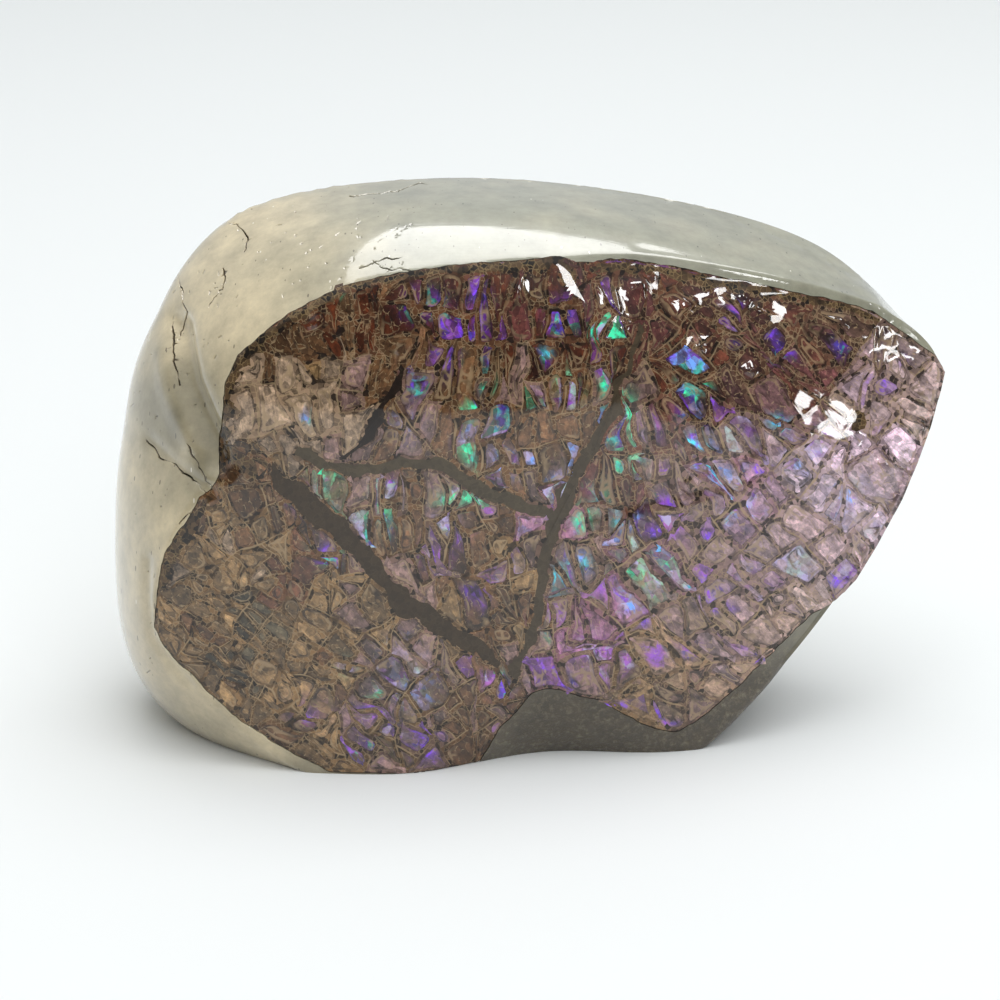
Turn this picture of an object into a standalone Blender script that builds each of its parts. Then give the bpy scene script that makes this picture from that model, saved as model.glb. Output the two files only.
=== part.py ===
"""Polished ammolite specimen: a free-form block of ironstone with a sheet of ammonite shell on its front.

The block stands on a flat cut base. Its front is a gently domed face that carries the iridescent
shell sheet, let in flush, and veins of the stone fill the cracks between the sheet's plates.
Tables are in millimetres and the scene is in metres. +X is right, +Y is back, +Z is up.
"""

import math

import bmesh
import bpy
from mathutils import Matrix, Vector

MM = 0.001

# Driving dimensions, in millimetres
SHELL_THICKNESS = 1.8        # the shell sheet with its backing
GAP = 0.3                    # clearance between the sheet and its bed in the stone
FACE_NEAREST_X = -14.0       # where the domed face comes nearest to the front
FACE_CURVE_X = 0.0040        # set-back of the face per square millimetre to the side
FACE_CURVE_Z = 0.0016        # set-back of the face per square millimetre of height
BACK_DEPTH = 45.0            # depth of the block at the fullest place of its back
BACK_MIDDLE = (-8.0, 34.0)   # x and z of that place
BACK_CURVE_X = 0.0028
BACK_CURVE_Z = 0.0020
CENTRE = (2.0, 34.0)         # x and z that the rings shrink towards
CUTTER_REACH = 40.0          # how far the cutters stand out in front of the block
BLOCK_LEVELS = 2             # subdivision of the block
BED_LEVELS = 1               # subdivision of the bed under the sheet

# Polished edge of the face, clockwise from the notch on the left: x, z and extra set-back
FACE_EDGE = [
    (-36.5, 43.0, 0.0),
    (-35.8, 51.0, 0.0),
    (-32.8, 58.0, 0.0),
    (-26.5, 63.2, 0.5),
    (-18.0, 66.7, 1.5),
    (-7.5, 68.2, 2.5),
    (5.0, 69.0, 3.0),
    (18.0, 68.2, 3.5),
    (31.0, 65.0, 4.0),
    (44.0, 61.0, 4.0),
    (54.0, 56.0, 3.0),
    (60.0, 50.8, 2.0),
    (61.2, 46.0, 1.0),
    (58.2, 38.0, 0.0),
    (52.0, 27.0, 0.0),
    (43.3, 15.0, 0.0),
    (33.3, 4.5, 0.0),
    (25.6, -2.5, 0.5),
    (17.0, -4.0, 4.5),
    (7.0, -4.0, 8.5),
    (-3.0, -4.0, 5.0),
    (-12.0, -3.5, 0.0),
    (-21.0, -2.5, 0.0),
    (-29.0, 1.0, 0.0),
    (-36.0, 7.0, 0.0),
    (-42.0, 13.2, 0.0),
    (-47.2, 19.0, 0.0),
    (-45.6, 27.0, 0.0),
    (-43.0, 33.5, 0.0),
    (-39.5, 38.5, 0.0),
]

# Widest outline of the block, in step with the face's edge: x, y and z
GIRDLE = [
    (-53.7, 25.0, 41.0),
    (-52.4, 25.5, 49.2),
    (-48.0, 27.0, 58.2),
    (-41.5, 31.0, 66.6),
    (-30.0, 36.0, 71.2),
    (-9.0, 41.0, 71.8),
    (5.0, 42.0, 71.0),
    (18.5, 41.0, 69.5),
    (32.0, 40.0, 67.0),
    (46.0, 38.0, 62.8),
    (53.8, 34.0, 55.0),
    (59.5, 31.0, 49.8),
    (60.2, 30.0, 44.0),
    (56.0, 29.0, 35.0),
    (49.5, 28.0, 24.0),
    (41.0, 27.0, 12.0),
    (32.5, 26.0, 2.0),
    (26.0, 25.0, -5.0),
    (16.0, 24.0, -6.0),
    (6.0, 23.0, -6.0),
    (-4.0, 21.0, -6.0),
    (-13.0, 20.0, -5.5),
    (-23.0, 18.5, -4.5),
    (-34.0, 17.5, -6.0),
    (-44.0, 17.5, -4.0),
    (-51.3, 19.5, 1.5),
    (-54.3, 21.5, 10.5),
    (-55.0, 23.0, 19.5),
    (-55.3, 24.0, 28.0),
    (-54.9, 24.5, 35.0),
]
CROWN = range(3, 11)         # stations along the top, with a ground band and a sharp back edge
FLUTE = (0, 1)               # stations of the shallow flute that runs up from the notch

# Outline of the shell sheet, clockwise from the notch: x and z. It runs out past the block on the right.
SHELL_OUTLINE = [
    (-35.4, 42.0), (-35.0, 48.5), (-34.3, 53.5), (-32.3, 57.0), (-28.8, 60.2), (-24.5, 62.8),
    (-19.0, 65.2), (-12.0, 66.6), (-4.0, 67.2), (4.0, 67.3), (9.0, 66.5), (14.0, 66.7),
    (20.0, 65.9), (27.0, 64.4), (35.0, 62.0), (43.0, 59.4), (50.0, 56.6), (56.0, 53.2),
    (66.0, 52.0), (67.0, 44.0), (58.0, 27.0), (51.0, 21.0), (45.5, 20.4), (43.0, 17.0),
    (38.8, 12.4), (34.4, 7.6), (30.2, 4.2), (26.4, 2.4), (22.4, 2.2), (19.3, 4.2),
    (15.8, 6.8), (13.8, 9.0), (9.8, 10.8), (6.2, 11.9),
    (4.2, 11.4), (2.1, 8.8), (0.0, 6.5), (-1.4, 4.2), (-3.4, 0.8), (-25.6, 0.8),
    (-31.0, 5.2), (-37.4, 10.4), (-42.4, 15.6), (-45.6, 19.6), (-45.0, 26.0), (-43.6, 30.2),
    (-40.2, 35.6), (-38.8, 38.2),
]

# Stone veins between the sheet's plates: x, z and half width along each middle line
VEINS = [
    [(-31.2, 43.4, 0.7), (-26.4, 38.8, 1.1), (-20.8, 34.2, 1.4), (-17.2, 30.4, 1.3), (-15.6, 27.4, 1.2),
     (-12.8, 24.9, 1.3), (-7.6, 21.6, 1.5), (-3.0, 17.8, 1.1), (-0.4, 15.3, 0.5)],
    [(-26.6, 45.2, 0.5), (-22.5, 43.4, 0.8), (-18.2, 41.6, 0.9), (-13.0, 43.7, 0.8), (-7.8, 42.8, 0.9),
     (-2.6, 39.4, 0.9), (2.2, 37.3, 0.8), (4.4, 36.6, 0.5)],
    [(19.0, 60.2, 0.5), (17.0, 55.6, 0.7), (14.6, 50.0, 0.8), (12.0, 44.6, 1.2), (9.6, 39.4, 1.3),
     (7.8, 34.2, 1.3), (6.4, 29.2, 1.0), (5.2, 23.4, 0.9), (3.4, 17.6, 0.6)],
]

# Finishes: base colour, roughness and clear coat
FINISHES = {
    "ironstone": ((0.42, 0.39, 0.31, 1.0), 0.32, 0.6),
    "shell": ((0.20, 0.10, 0.12, 1.0), 0.25, 1.0),
}


def face_depth(x, z):
    """Set-back of the domed front face."""
    return FACE_CURVE_X * (x - FACE_NEAREST_X) ** 2 + FACE_CURVE_Z * z ** 2


def back_depth(x, z):
    """Depth of the domed back."""
    return (BACK_DEPTH
            - BACK_CURVE_X * (x - BACK_MIDDLE[0]) ** 2
            - BACK_CURVE_Z * (z - BACK_MIDDLE[1]) ** 2)


def shrunk(x, z, share):
    """A place moved towards the middle of the outline, or away from it when share is over one."""
    return (CENTRE[0] + (x - CENTRE[0]) * share, CENTRE[1] + (z - CENTRE[1]) * share)


def front_ring(share, set_back=0.0):
    """A ring on the front face, or behind it by the set-back."""
    ring = []
    for x, z, extra in FACE_EDGE:
        near_x, near_z = shrunk(x, z, share)
        ring.append((near_x, face_depth(near_x, near_z) + extra * share ** 4 + set_back, near_z))
    return ring


def shoulder_ring(edge):
    """The ring between the face's edge and the girdle, which rounds the wall."""
    ring = []
    for station, (near, far) in enumerate(zip(edge, GIRDLE)):
        out, deep, lift = (0.24, 0.28, 4.0) if station in CROWN else (0.5, 0.3, 0.0)
        if station in FLUTE:
            out = 0.41
        lift *= max(0.0, 1 - abs(near[0] + 8) / 45)
        ring.append((
            near[0] + (far[0] - near[0]) * out,
            near[1] + (far[1] - near[1]) * deep,
            near[2] + (far[2] - near[2]) * out + lift,
        ))
    return ring


def back_ring(share, towards_back):
    """A ring behind the girdle, shrunk and moved towards the domed back."""
    ring = []
    for station, (x, y, z) in enumerate(GIRDLE):
        kept = max(share, 0.985) if station in CROWN and towards_back < 1 else share
        near_x, near_z = shrunk(x, z, kept)
        ring.append((near_x, y + (back_depth(near_x, near_z) - y) * towards_back, near_z))
    return ring


def skin(rings, sharp=()):
    """A mesh bridging one ring to the next; sharp holds (ring, station, crease) for creased edges."""
    shape = bmesh.new()
    crease = shape.edges.layers.float.new("crease_edge")
    loops = []
    for ring in rings:
        verts = [shape.verts.new(Vector(point) * MM) for point in ring]
        loops.append([shape.edges.new(pair) for pair in zip(verts, verts[1:] + verts[:1])])
    for ring, station, amount in sharp:
        loops[ring][station][crease] = amount
    for near, far in zip(loops, loops[1:]):
        bmesh.ops.bridge_loops(shape, edges=near + far)
    bmesh.ops.contextual_create(shape, geom=loops[0])
    return shape, loops


def stored(shape, name):
    """Keep a bmesh as a new mesh."""
    bmesh.ops.recalc_face_normals(shape, faces=shape.faces)
    mesh = bpy.data.meshes.new(name)
    shape.to_mesh(mesh)
    shape.free()
    return mesh


def placed(name, mesh, collection):
    """A new object of a mesh in a collection."""
    item = bpy.data.objects.new(name, mesh)
    collection.objects.link(item)
    return item


def evaluated_mesh(item):
    """The mesh that an object has after its modifiers; the object is removed."""
    bpy.context.view_layer.update()
    mesh = bpy.data.meshes.new_from_object(item.evaluated_get(bpy.context.evaluated_depsgraph_get()))
    mesh.transform(item.matrix_world)
    bpy.data.objects.remove(item)
    return mesh


def subdivided(name, mesh, levels, collection):
    """A mesh smoothed by subdivision."""
    item = placed(name, mesh, collection)
    smooth = item.modifiers.new("smooth", "SUBSURF")
    smooth.levels = smooth.render_levels = levels
    return evaluated_mesh(item)


def block_mesh(collection):
    """The whole polished block, cut flat at the floor."""
    edge = front_ring(1.0)
    rings = [front_ring(0.42), front_ring(0.80), edge, shoulder_ring(edge), GIRDLE,
             back_ring(0.93, 0.75), back_ring(0.50, 1.0)]
    sharp = [(2, station, 0.7) for station in range(len(FACE_EDGE))]
    sharp += [(4, station, 0.55) for station in CROWN]
    shape, loops = skin(rings, sharp)
    bmesh.ops.contextual_create(shape, geom=loops[-1])
    mesh = subdivided("block", stored(shape, "block_cage"), BLOCK_LEVELS, collection)
    cut = bmesh.new()
    cut.from_mesh(mesh)
    sliced = bmesh.ops.bisect_plane(
        cut, geom=cut.verts[:] + cut.edges[:] + cut.faces[:],
        plane_co=(0, 0, 0), plane_no=(0, 0, 1), clear_inner=True)
    rim = [part for part in sliced["geom_cut"] if isinstance(part, bmesh.types.BMEdge)]
    bmesh.ops.contextual_create(cut, geom=rim)
    return stored(cut, "block")


def space_in_front(name, set_back, collection):
    """A solid that fills everything in front of the sheet's bed."""
    rings = [front_ring(share, set_back) for share in (0.42, 0.80, 1.0, 1.22)]
    shape, _ = skin(rings)
    mesh = subdivided(name, stored(shape, name), BED_LEVELS, collection)
    solid = bmesh.new()
    solid.from_mesh(mesh)
    grown = bmesh.ops.extrude_face_region(solid, geom=solid.faces[:], use_keep_orig=True)
    moved = [part for part in grown["geom"] if isinstance(part, bmesh.types.BMVert)]
    bmesh.ops.translate(solid, verts=moved, vec=(0, -CUTTER_REACH * MM, 0))
    return stored(solid, name)


def offset_outline(points, distance):
    """An outline moved inwards by a distance; the points run clockwise."""
    moved = []
    for before, here, after in zip(points[-1:] + points[:-1], points, points[1:] + points[:1]):
        into = (Vector(here) - Vector(before)).normalized()
        out = (Vector(after) - Vector(here)).normalized()
        normal = (into + out).normalized()
        inward = Vector((normal.y, -normal.x))
        reach = distance / max(0.4, normal.dot(out))
        moved.append(tuple(Vector(here) + inward * reach))
    return moved


def ribbon(middle, widen):
    """The outline of a vein around its middle line."""
    left, right = [], []
    for i, (x, z, half) in enumerate(middle):
        before = Vector(middle[max(i - 1, 0)][:2])
        after = Vector(middle[min(i + 1, len(middle) - 1)][:2])
        along = (after - before).normalized()
        side = Vector((-along.y, along.x)) * (half + widen)
        tip = along * widen * ((i == len(middle) - 1) - (i == 0))
        left.append(tuple(Vector((x, z)) + side + tip))
        right.append(tuple(Vector((x, z)) - side + tip))
    return left + right[::-1]


def prism(name, outlines, collection):
    """Flat outlines in x and z drawn out along y; the ones inside the first are holes."""
    flat = bpy.data.curves.new(name, "CURVE")
    flat.dimensions = "2D"
    flat.fill_mode = "BOTH"
    flat.extrude = (CUTTER_REACH + BACK_DEPTH) / 2 * MM
    for outline in outlines:
        spline = flat.splines.new("POLY")
        spline.points.add(len(outline) - 1)
        for point, (x, z) in zip(spline.points, outline):
            point.co = (x * MM, z * MM, 0, 1)
        spline.use_cyclic_u = True
    item = placed(name, flat, collection)
    item.matrix_world = Matrix.Rotation(math.pi / 2, 4, "X")
    mesh = evaluated_mesh(item)
    shape = bmesh.new()
    shape.from_mesh(mesh)
    bmesh.ops.remove_doubles(shape, verts=shape.verts, dist=0.00001)
    return stored(shape, name)


def combined(item, other, operation):
    """Add an exact Boolean modifier to an object."""
    modifier = item.modifiers.new(operation.lower(), "BOOLEAN")
    modifier.operation = operation
    modifier.solver = "EXACT"
    modifier.object = other


def shell_cutter(name, set_back, inset, cutters):
    """The shape of the shell sheet, running out in front, with the veins left open."""
    outlines = [offset_outline(SHELL_OUTLINE, inset)] + [ribbon(vein, inset) for vein in VEINS]
    cutter = placed(name, prism(name, outlines, cutters), cutters)
    front = placed(name + "_front", space_in_front(name + "_front", set_back, cutters), cutters)
    combined(cutter, front, "INTERSECT")
    for item in (cutter, front):
        item.hide_render = True
        item.display_type = "WIRE"
    return cutter


def finish(name):
    """A Principled material from the table of finishes."""
    colour, roughness, coat = FINISHES[name]
    material = bpy.data.materials.new(name)
    material.use_nodes = True
    shader = material.node_tree.nodes["Principled BSDF"]
    shader.inputs["Base Color"].default_value = colour
    shader.inputs["Roughness"].default_value = roughness
    shader.inputs["Coat Weight"].default_value = coat
    return material


def new_collection(name):
    """A collection linked to the scene."""
    collection = bpy.data.collections.new(name)
    bpy.context.scene.collection.children.link(collection)
    return collection


def solid(name, block, cutter, operation, material, collection):
    """A finished solid: the block with one exact Boolean."""
    item = placed(name, block.copy(), collection)
    combined(item, cutter, operation)
    mesh = evaluated_mesh(item)
    mesh.materials.clear()
    mesh.materials.append(finish(material))
    mesh.shade_smooth()
    return placed(name, mesh, collection)


def main():
    for old in list(bpy.data.objects):
        bpy.data.objects.remove(old)
    specimen = new_collection("ammolite_specimen")
    cutters = new_collection("cutters")
    block = block_mesh(specimen)
    bed = shell_cutter("bed", SHELL_THICKNESS + GAP, 0.0, cutters)
    sheet = shell_cutter("sheet", SHELL_THICKNESS, GAP, cutters)
    stone = solid("ironstone_matrix", block, bed, "DIFFERENCE", "ironstone", specimen)
    shell = solid("shell_sheet", block, sheet, "INTERSECT", "shell", specimen)

    # The middle of the bounding box goes to x = 0 and y = 0
    corners = [Vector(corner) for item in (stone, shell) for corner in item.bound_box]
    middle = [(min(c[axis] for c in corners) + max(c[axis] for c in corners)) / 2 for axis in (0, 1)]
    to_origin = Matrix.Translation((-middle[0], -middle[1], 0))
    for item in (stone, shell):
        item.data.transform(to_origin)
    for item in cutters.objects:
        item.matrix_world = to_origin


main()
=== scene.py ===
"""Dresses the polished ammolite specimen: a free-form block of ironstone that stands on a cut base and
carries a sheet of cracked, iridescent ammonite shell on its domed front.

Tables are in millimetres or in pixels of the photograph's 1000 x 1000 frame, and meshes are in metres.
"""

import logging
import math
import random
from dataclasses import dataclass, field
from enum import Enum
from typing import Iterable, Optional

import bmesh
import bpy
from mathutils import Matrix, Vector, noise
from mathutils.bvhtree import BVHTree
from mathutils.geometry import barycentric_transform, delaunay_2d_cdt
from mathutils.kdtree import KDTree

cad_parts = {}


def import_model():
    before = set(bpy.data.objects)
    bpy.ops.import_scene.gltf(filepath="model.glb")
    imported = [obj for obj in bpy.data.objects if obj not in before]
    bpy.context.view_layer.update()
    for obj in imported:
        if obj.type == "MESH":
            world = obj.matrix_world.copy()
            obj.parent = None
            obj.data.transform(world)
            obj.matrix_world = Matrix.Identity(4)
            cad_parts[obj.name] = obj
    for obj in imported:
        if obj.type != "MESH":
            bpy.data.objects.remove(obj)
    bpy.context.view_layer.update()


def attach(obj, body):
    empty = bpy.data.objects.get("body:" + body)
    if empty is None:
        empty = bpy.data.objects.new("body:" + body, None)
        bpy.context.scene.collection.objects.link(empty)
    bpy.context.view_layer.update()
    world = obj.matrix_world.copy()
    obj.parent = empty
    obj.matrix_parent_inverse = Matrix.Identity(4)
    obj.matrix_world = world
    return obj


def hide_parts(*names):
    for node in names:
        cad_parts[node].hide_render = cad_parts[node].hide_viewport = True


log = logging.getLogger("ammolite")

MM = 0.001
FRAME_PX = 1000.0
PX_PER_MM = 7.4              # pixels of the photograph to a millimetre on the face
TO_CAD = Vector((-3.461, -21.805, 0.0))   # from the tables' origin to the middle of the CAD box

Pixel = tuple[float, float]

# Polished edge of the face, clockwise from the notch on the left: x, z and extra set-back
FACE_EDGE = [
    (-36.5, 43.0, 0.0), (-35.8, 51.0, 0.0), (-32.8, 58.0, 0.0), (-26.5, 63.2, 0.5), (-18.0, 66.7, 1.5),
    (-7.5, 68.2, 2.5), (5.0, 69.0, 3.0), (18.0, 68.2, 3.5), (31.0, 65.0, 4.0), (44.0, 61.0, 4.0),
    (54.0, 56.0, 3.0), (60.0, 50.8, 2.0), (61.2, 46.0, 1.0), (58.2, 38.0, 0.0), (52.0, 27.0, 0.0),
    (43.3, 15.0, 0.0), (33.3, 4.5, 0.0), (25.6, -2.5, 0.5), (17.0, -4.0, 4.5), (7.0, -4.0, 8.5),
    (-3.0, -4.0, 5.0), (-12.0, -3.5, 0.0), (-21.0, -2.5, 0.0), (-29.0, 1.0, 0.0), (-36.0, 7.0, 0.0),
    (-42.0, 13.2, 0.0), (-47.2, 19.0, 0.0), (-45.6, 27.0, 0.0), (-43.0, 33.5, 0.0), (-39.5, 38.5, 0.0),
]

# Widest outline of the block, in step with the face's edge: x, y and z
GIRDLE = [
    (-53.7, 25.0, 41.0), (-52.4, 25.5, 49.2), (-48.0, 27.0, 58.2), (-41.5, 31.0, 66.6), (-30.0, 36.0, 71.2),
    (-9.0, 41.0, 71.8), (5.0, 42.0, 71.0), (18.5, 41.0, 69.5), (32.0, 40.0, 67.0), (46.0, 38.0, 62.8),
    (53.8, 34.0, 55.0), (59.5, 31.0, 49.8), (60.2, 30.0, 44.0), (56.0, 29.0, 35.0), (49.5, 28.0, 24.0),
    (41.0, 27.0, 12.0), (32.5, 26.0, 2.0), (26.0, 25.0, -5.0), (16.0, 24.0, -6.0), (6.0, 23.0, -6.0),
    (-4.0, 21.0, -6.0), (-13.0, 20.0, -5.5), (-23.0, 18.5, -4.5), (-34.0, 17.5, -6.0), (-44.0, 17.5, -4.0),
    (-51.3, 19.5, 1.5), (-54.3, 21.5, 10.5), (-55.0, 23.0, 19.5), (-55.3, 24.0, 28.0), (-54.9, 24.5, 35.0),
]
CROWN = range(3, 11)         # stations along the top, with a ground band and a sharp back edge
FLUTE = (0, 1)               # stations of the shallow flute that runs up from the notch

# Outline of the shell sheet in the photograph, clockwise from the notch
SHELL_OUTLINE: list[Pixel] = [
    (220, 474), (219, 450), (222, 427), (226, 382), (238, 355), (264, 333), (288, 315), (317, 299),
    (343, 286), (382, 277), (420, 270), (452, 266), (481, 263), (525, 260), (559, 257), (576, 263),
    (597, 263), (611, 259), (632, 260), (676, 267), (705, 274), (735, 280), (764, 286), (793, 292),
    (823, 298), (852, 305), (872, 312), (896, 327), (919, 345), (936, 356), (945, 372), (941, 390),
    (931, 426), (918, 462), (902, 500), (878, 544), (856, 580), (836, 600), (808, 616), (784, 640),
    (760, 664), (738, 686), (714, 706), (694, 722), (678, 731), (655, 728), (632, 718), (612, 706),
    (601, 701), (587, 697), (573, 694), (560, 690), (546, 688), (532, 692), (516, 711), (500, 727),
    (491, 742), (478, 764), (446, 770), (420, 772), (379, 773), (329, 771), (309, 760), (286, 749),
    (262, 734), (240, 719), (216, 699), (196, 678), (175, 658), (161, 640), (155, 628), (156, 606),
    (159, 582), (165, 553), (176, 536), (191, 515), (200, 497), (212, 490),
]


class Tone(Enum):
    """Body colours of the shell plates, which range from weathered taupe to glassy wine red."""

    TAUPE = "7A6040"
    UMBER = "5C4029"
    WINE = "46200F"
    MULBERRY = "512A26"
    MAUVE = "84586E"
    DUSK = "705853"
    MILK = "87725E"
    LILAC = "A8929E"
    MOSS = "484030"
    RUST = "6A4430"


class Flash(Enum):
    """Interference colours of the nacre."""

    GREEN = "3FE0A8"
    JADE = "7CC79A"
    TEAL = "3FB0A6"
    CYAN = "4FD6EE"
    BLUE = "6FA0F0"
    INDIGO = "44389A"
    VIOLET = "7A3FE0"
    PURPLE = "8A4FB8"
    MAGENTA = "A860B8"
    LAVENDER = "A79AC4"
    PALE = "9DAFAE"


TAUPE, UMBER, WINE, MULBERRY, MAUVE, DUSK, MILK, LILAC, MOSS, RUST = Tone
GREEN, JADE, TEAL, CYAN, BLUE, INDIGO, VIOLET, PURPLE, MAGENTA, LAVENDER, PALE = Flash
Spot = tuple[float, float, float, float, Flash, float]

# Colours that each flash drifts to inside a plate
NEIGHBOURS = {
    GREEN: (GREEN, TEAL, LAVENDER),
    JADE: (TEAL, LAVENDER, PALE),
    TEAL: (GREEN, BLUE, INDIGO),
    CYAN: (BLUE, TEAL, VIOLET),
    BLUE: (CYAN, VIOLET, LAVENDER),
    INDIGO: (VIOLET, TEAL, PURPLE),
    VIOLET: (PURPLE, INDIGO),
    PURPLE: (VIOLET, MAGENTA, LAVENDER),
    MAGENTA: (PURPLE, LAVENDER),
    LAVENDER: (PURPLE, PALE, BLUE),
    PALE: (LAVENDER, JADE),
}


@dataclass(frozen=True)
class Zone:
    """One region of the shell: how its plates lie and what they look like.

    Attributes:
        at: Place of the region in the photograph.
        lean: Direction of the plates' long cracks, in degrees clockwise from the photograph's right.
        size: Length along the lean and width across it, in pixels.
        tones: Body colours, the commonest first.
        flashes: Colours that scattered plates flash.
        share: Share of plates that flash.
    """

    at: Pixel
    lean: float
    size: tuple[float, float]
    tones: tuple[Tone, ...]
    flashes: tuple[Flash, ...] = ()
    share: float = 0.0


ZONES = [
    Zone((260, 390), 80, (34, 30), (MILK, TAUPE)),
    Zone((330, 400), 78, (44, 34), (MILK, TAUPE, DUSK)),
    Zone((290, 325), 60, (26, 20), (UMBER, WINE)),
    Zone((380, 310), 85, (34, 22), (WINE, UMBER), (INDIGO,), 0.1),
    Zone((470, 305), 90, (40, 22), (WINE, MULBERRY), (INDIGO, VIOLET), 0.22),
    Zone((400, 400), 110, (46, 22), (UMBER, DUSK), (INDIGO, LAVENDER), 0.15),
    Zone((480, 390), 92, (48, 20), (UMBER, MULBERRY, DUSK), (LAVENDER, TEAL), 0.2),
    Zone((560, 330), 88, (46, 24), (WINE, MULBERRY), (INDIGO, TEAL), 0.2),
    Zone((560, 430), 80, (44, 20), (UMBER, DUSK), (LAVENDER, TEAL), 0.25),
    Zone((620, 290), 70, (36, 26), (MULBERRY, WINE), (PURPLE, INDIGO), 0.3),
    Zone((700, 320), 50, (34, 26), (WINE, MULBERRY), (PURPLE, INDIGO), 0.3),
    Zone((790, 330), 42, (36, 24), (WINE, MULBERRY), (PURPLE, INDIGO), 0.25),
    Zone((870, 370), 40, (38, 28), (MILK, DUSK, UMBER), (PURPLE,), 0.12),
    Zone((700, 410), 62, (34, 22), (WINE, MULBERRY), (PURPLE, BLUE, TEAL), 0.4),
    Zone((800, 410), 45, (38, 22), (WINE, MULBERRY), (PURPLE,), 0.2),
    Zone((640, 450), 78, (38, 22), (MULBERRY, DUSK), (PURPLE, TEAL, BLUE), 0.4),
    Zone((740, 500), 50, (36, 28), (DUSK, MAUVE), (PURPLE, LAVENDER), 0.4),
    Zone((850, 480), 42, (40, 32), (LILAC, DUSK), (LAVENDER,), 0.35),
    Zone((820, 560), 46, (36, 30), (DUSK, MILK), (LAVENDER, PURPLE), 0.25),
    Zone((650, 580), 58, (42, 32), (DUSK, MAUVE), (PURPLE, BLUE, PALE), 0.4),
    Zone((590, 560), 82, (36, 24), (DUSK, MAUVE), (BLUE, LAVENDER), 0.4),
    Zone((720, 620), 50, (36, 26), (DUSK, TAUPE), (PURPLE, MAGENTA), 0.35),
    Zone((580, 640), 72, (38, 30), (MAUVE, DUSK), (MAGENTA, PURPLE), 0.5),
    Zone((680, 690), 25, (40, 26), (TAUPE, UMBER), (PURPLE,), 0.08),
    Zone((780, 640), 40, (36, 26), (TAUPE, DUSK), (PURPLE,), 0.1),
    Zone((350, 520), 88, (42, 22), (UMBER, DUSK), (LAVENDER, TEAL), 0.2),
    Zone((450, 540), 76, (36, 22), (UMBER, DUSK), (PURPLE, LAVENDER), 0.25),
    Zone((510, 600), 74, (32, 22), (UMBER, TAUPE), (LAVENDER,), 0.12),
    Zone((230, 560), 38, (26, 20), (TAUPE, MILK)),
    Zone((252, 634), 34, (16, 12), (MOSS, TAUPE)),
    Zone((287, 582), 40, (18, 14), (RUST, TAUPE)),
    Zone((262, 520), 60, (30, 22), (UMBER, TAUPE)),
    Zone((210, 630), 34, (26, 20), (TAUPE, UMBER)),
    Zone((310, 590), 42, (30, 22), (TAUPE, UMBER, DUSK)),
    Zone((300, 680), 32, (28, 22), (TAUPE, UMBER), (PURPLE,), 0.06),
    Zone((400, 650), 48, (34, 28), (DUSK, TAUPE), (LAVENDER, JADE), 0.15),
    Zone((400, 730), 30, (34, 26), (DUSK, TAUPE), (PURPLE, JADE), 0.2),
    Zone((470, 700), 55, (30, 22), (UMBER, DUSK), (PURPLE,), 0.2),
]

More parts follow.
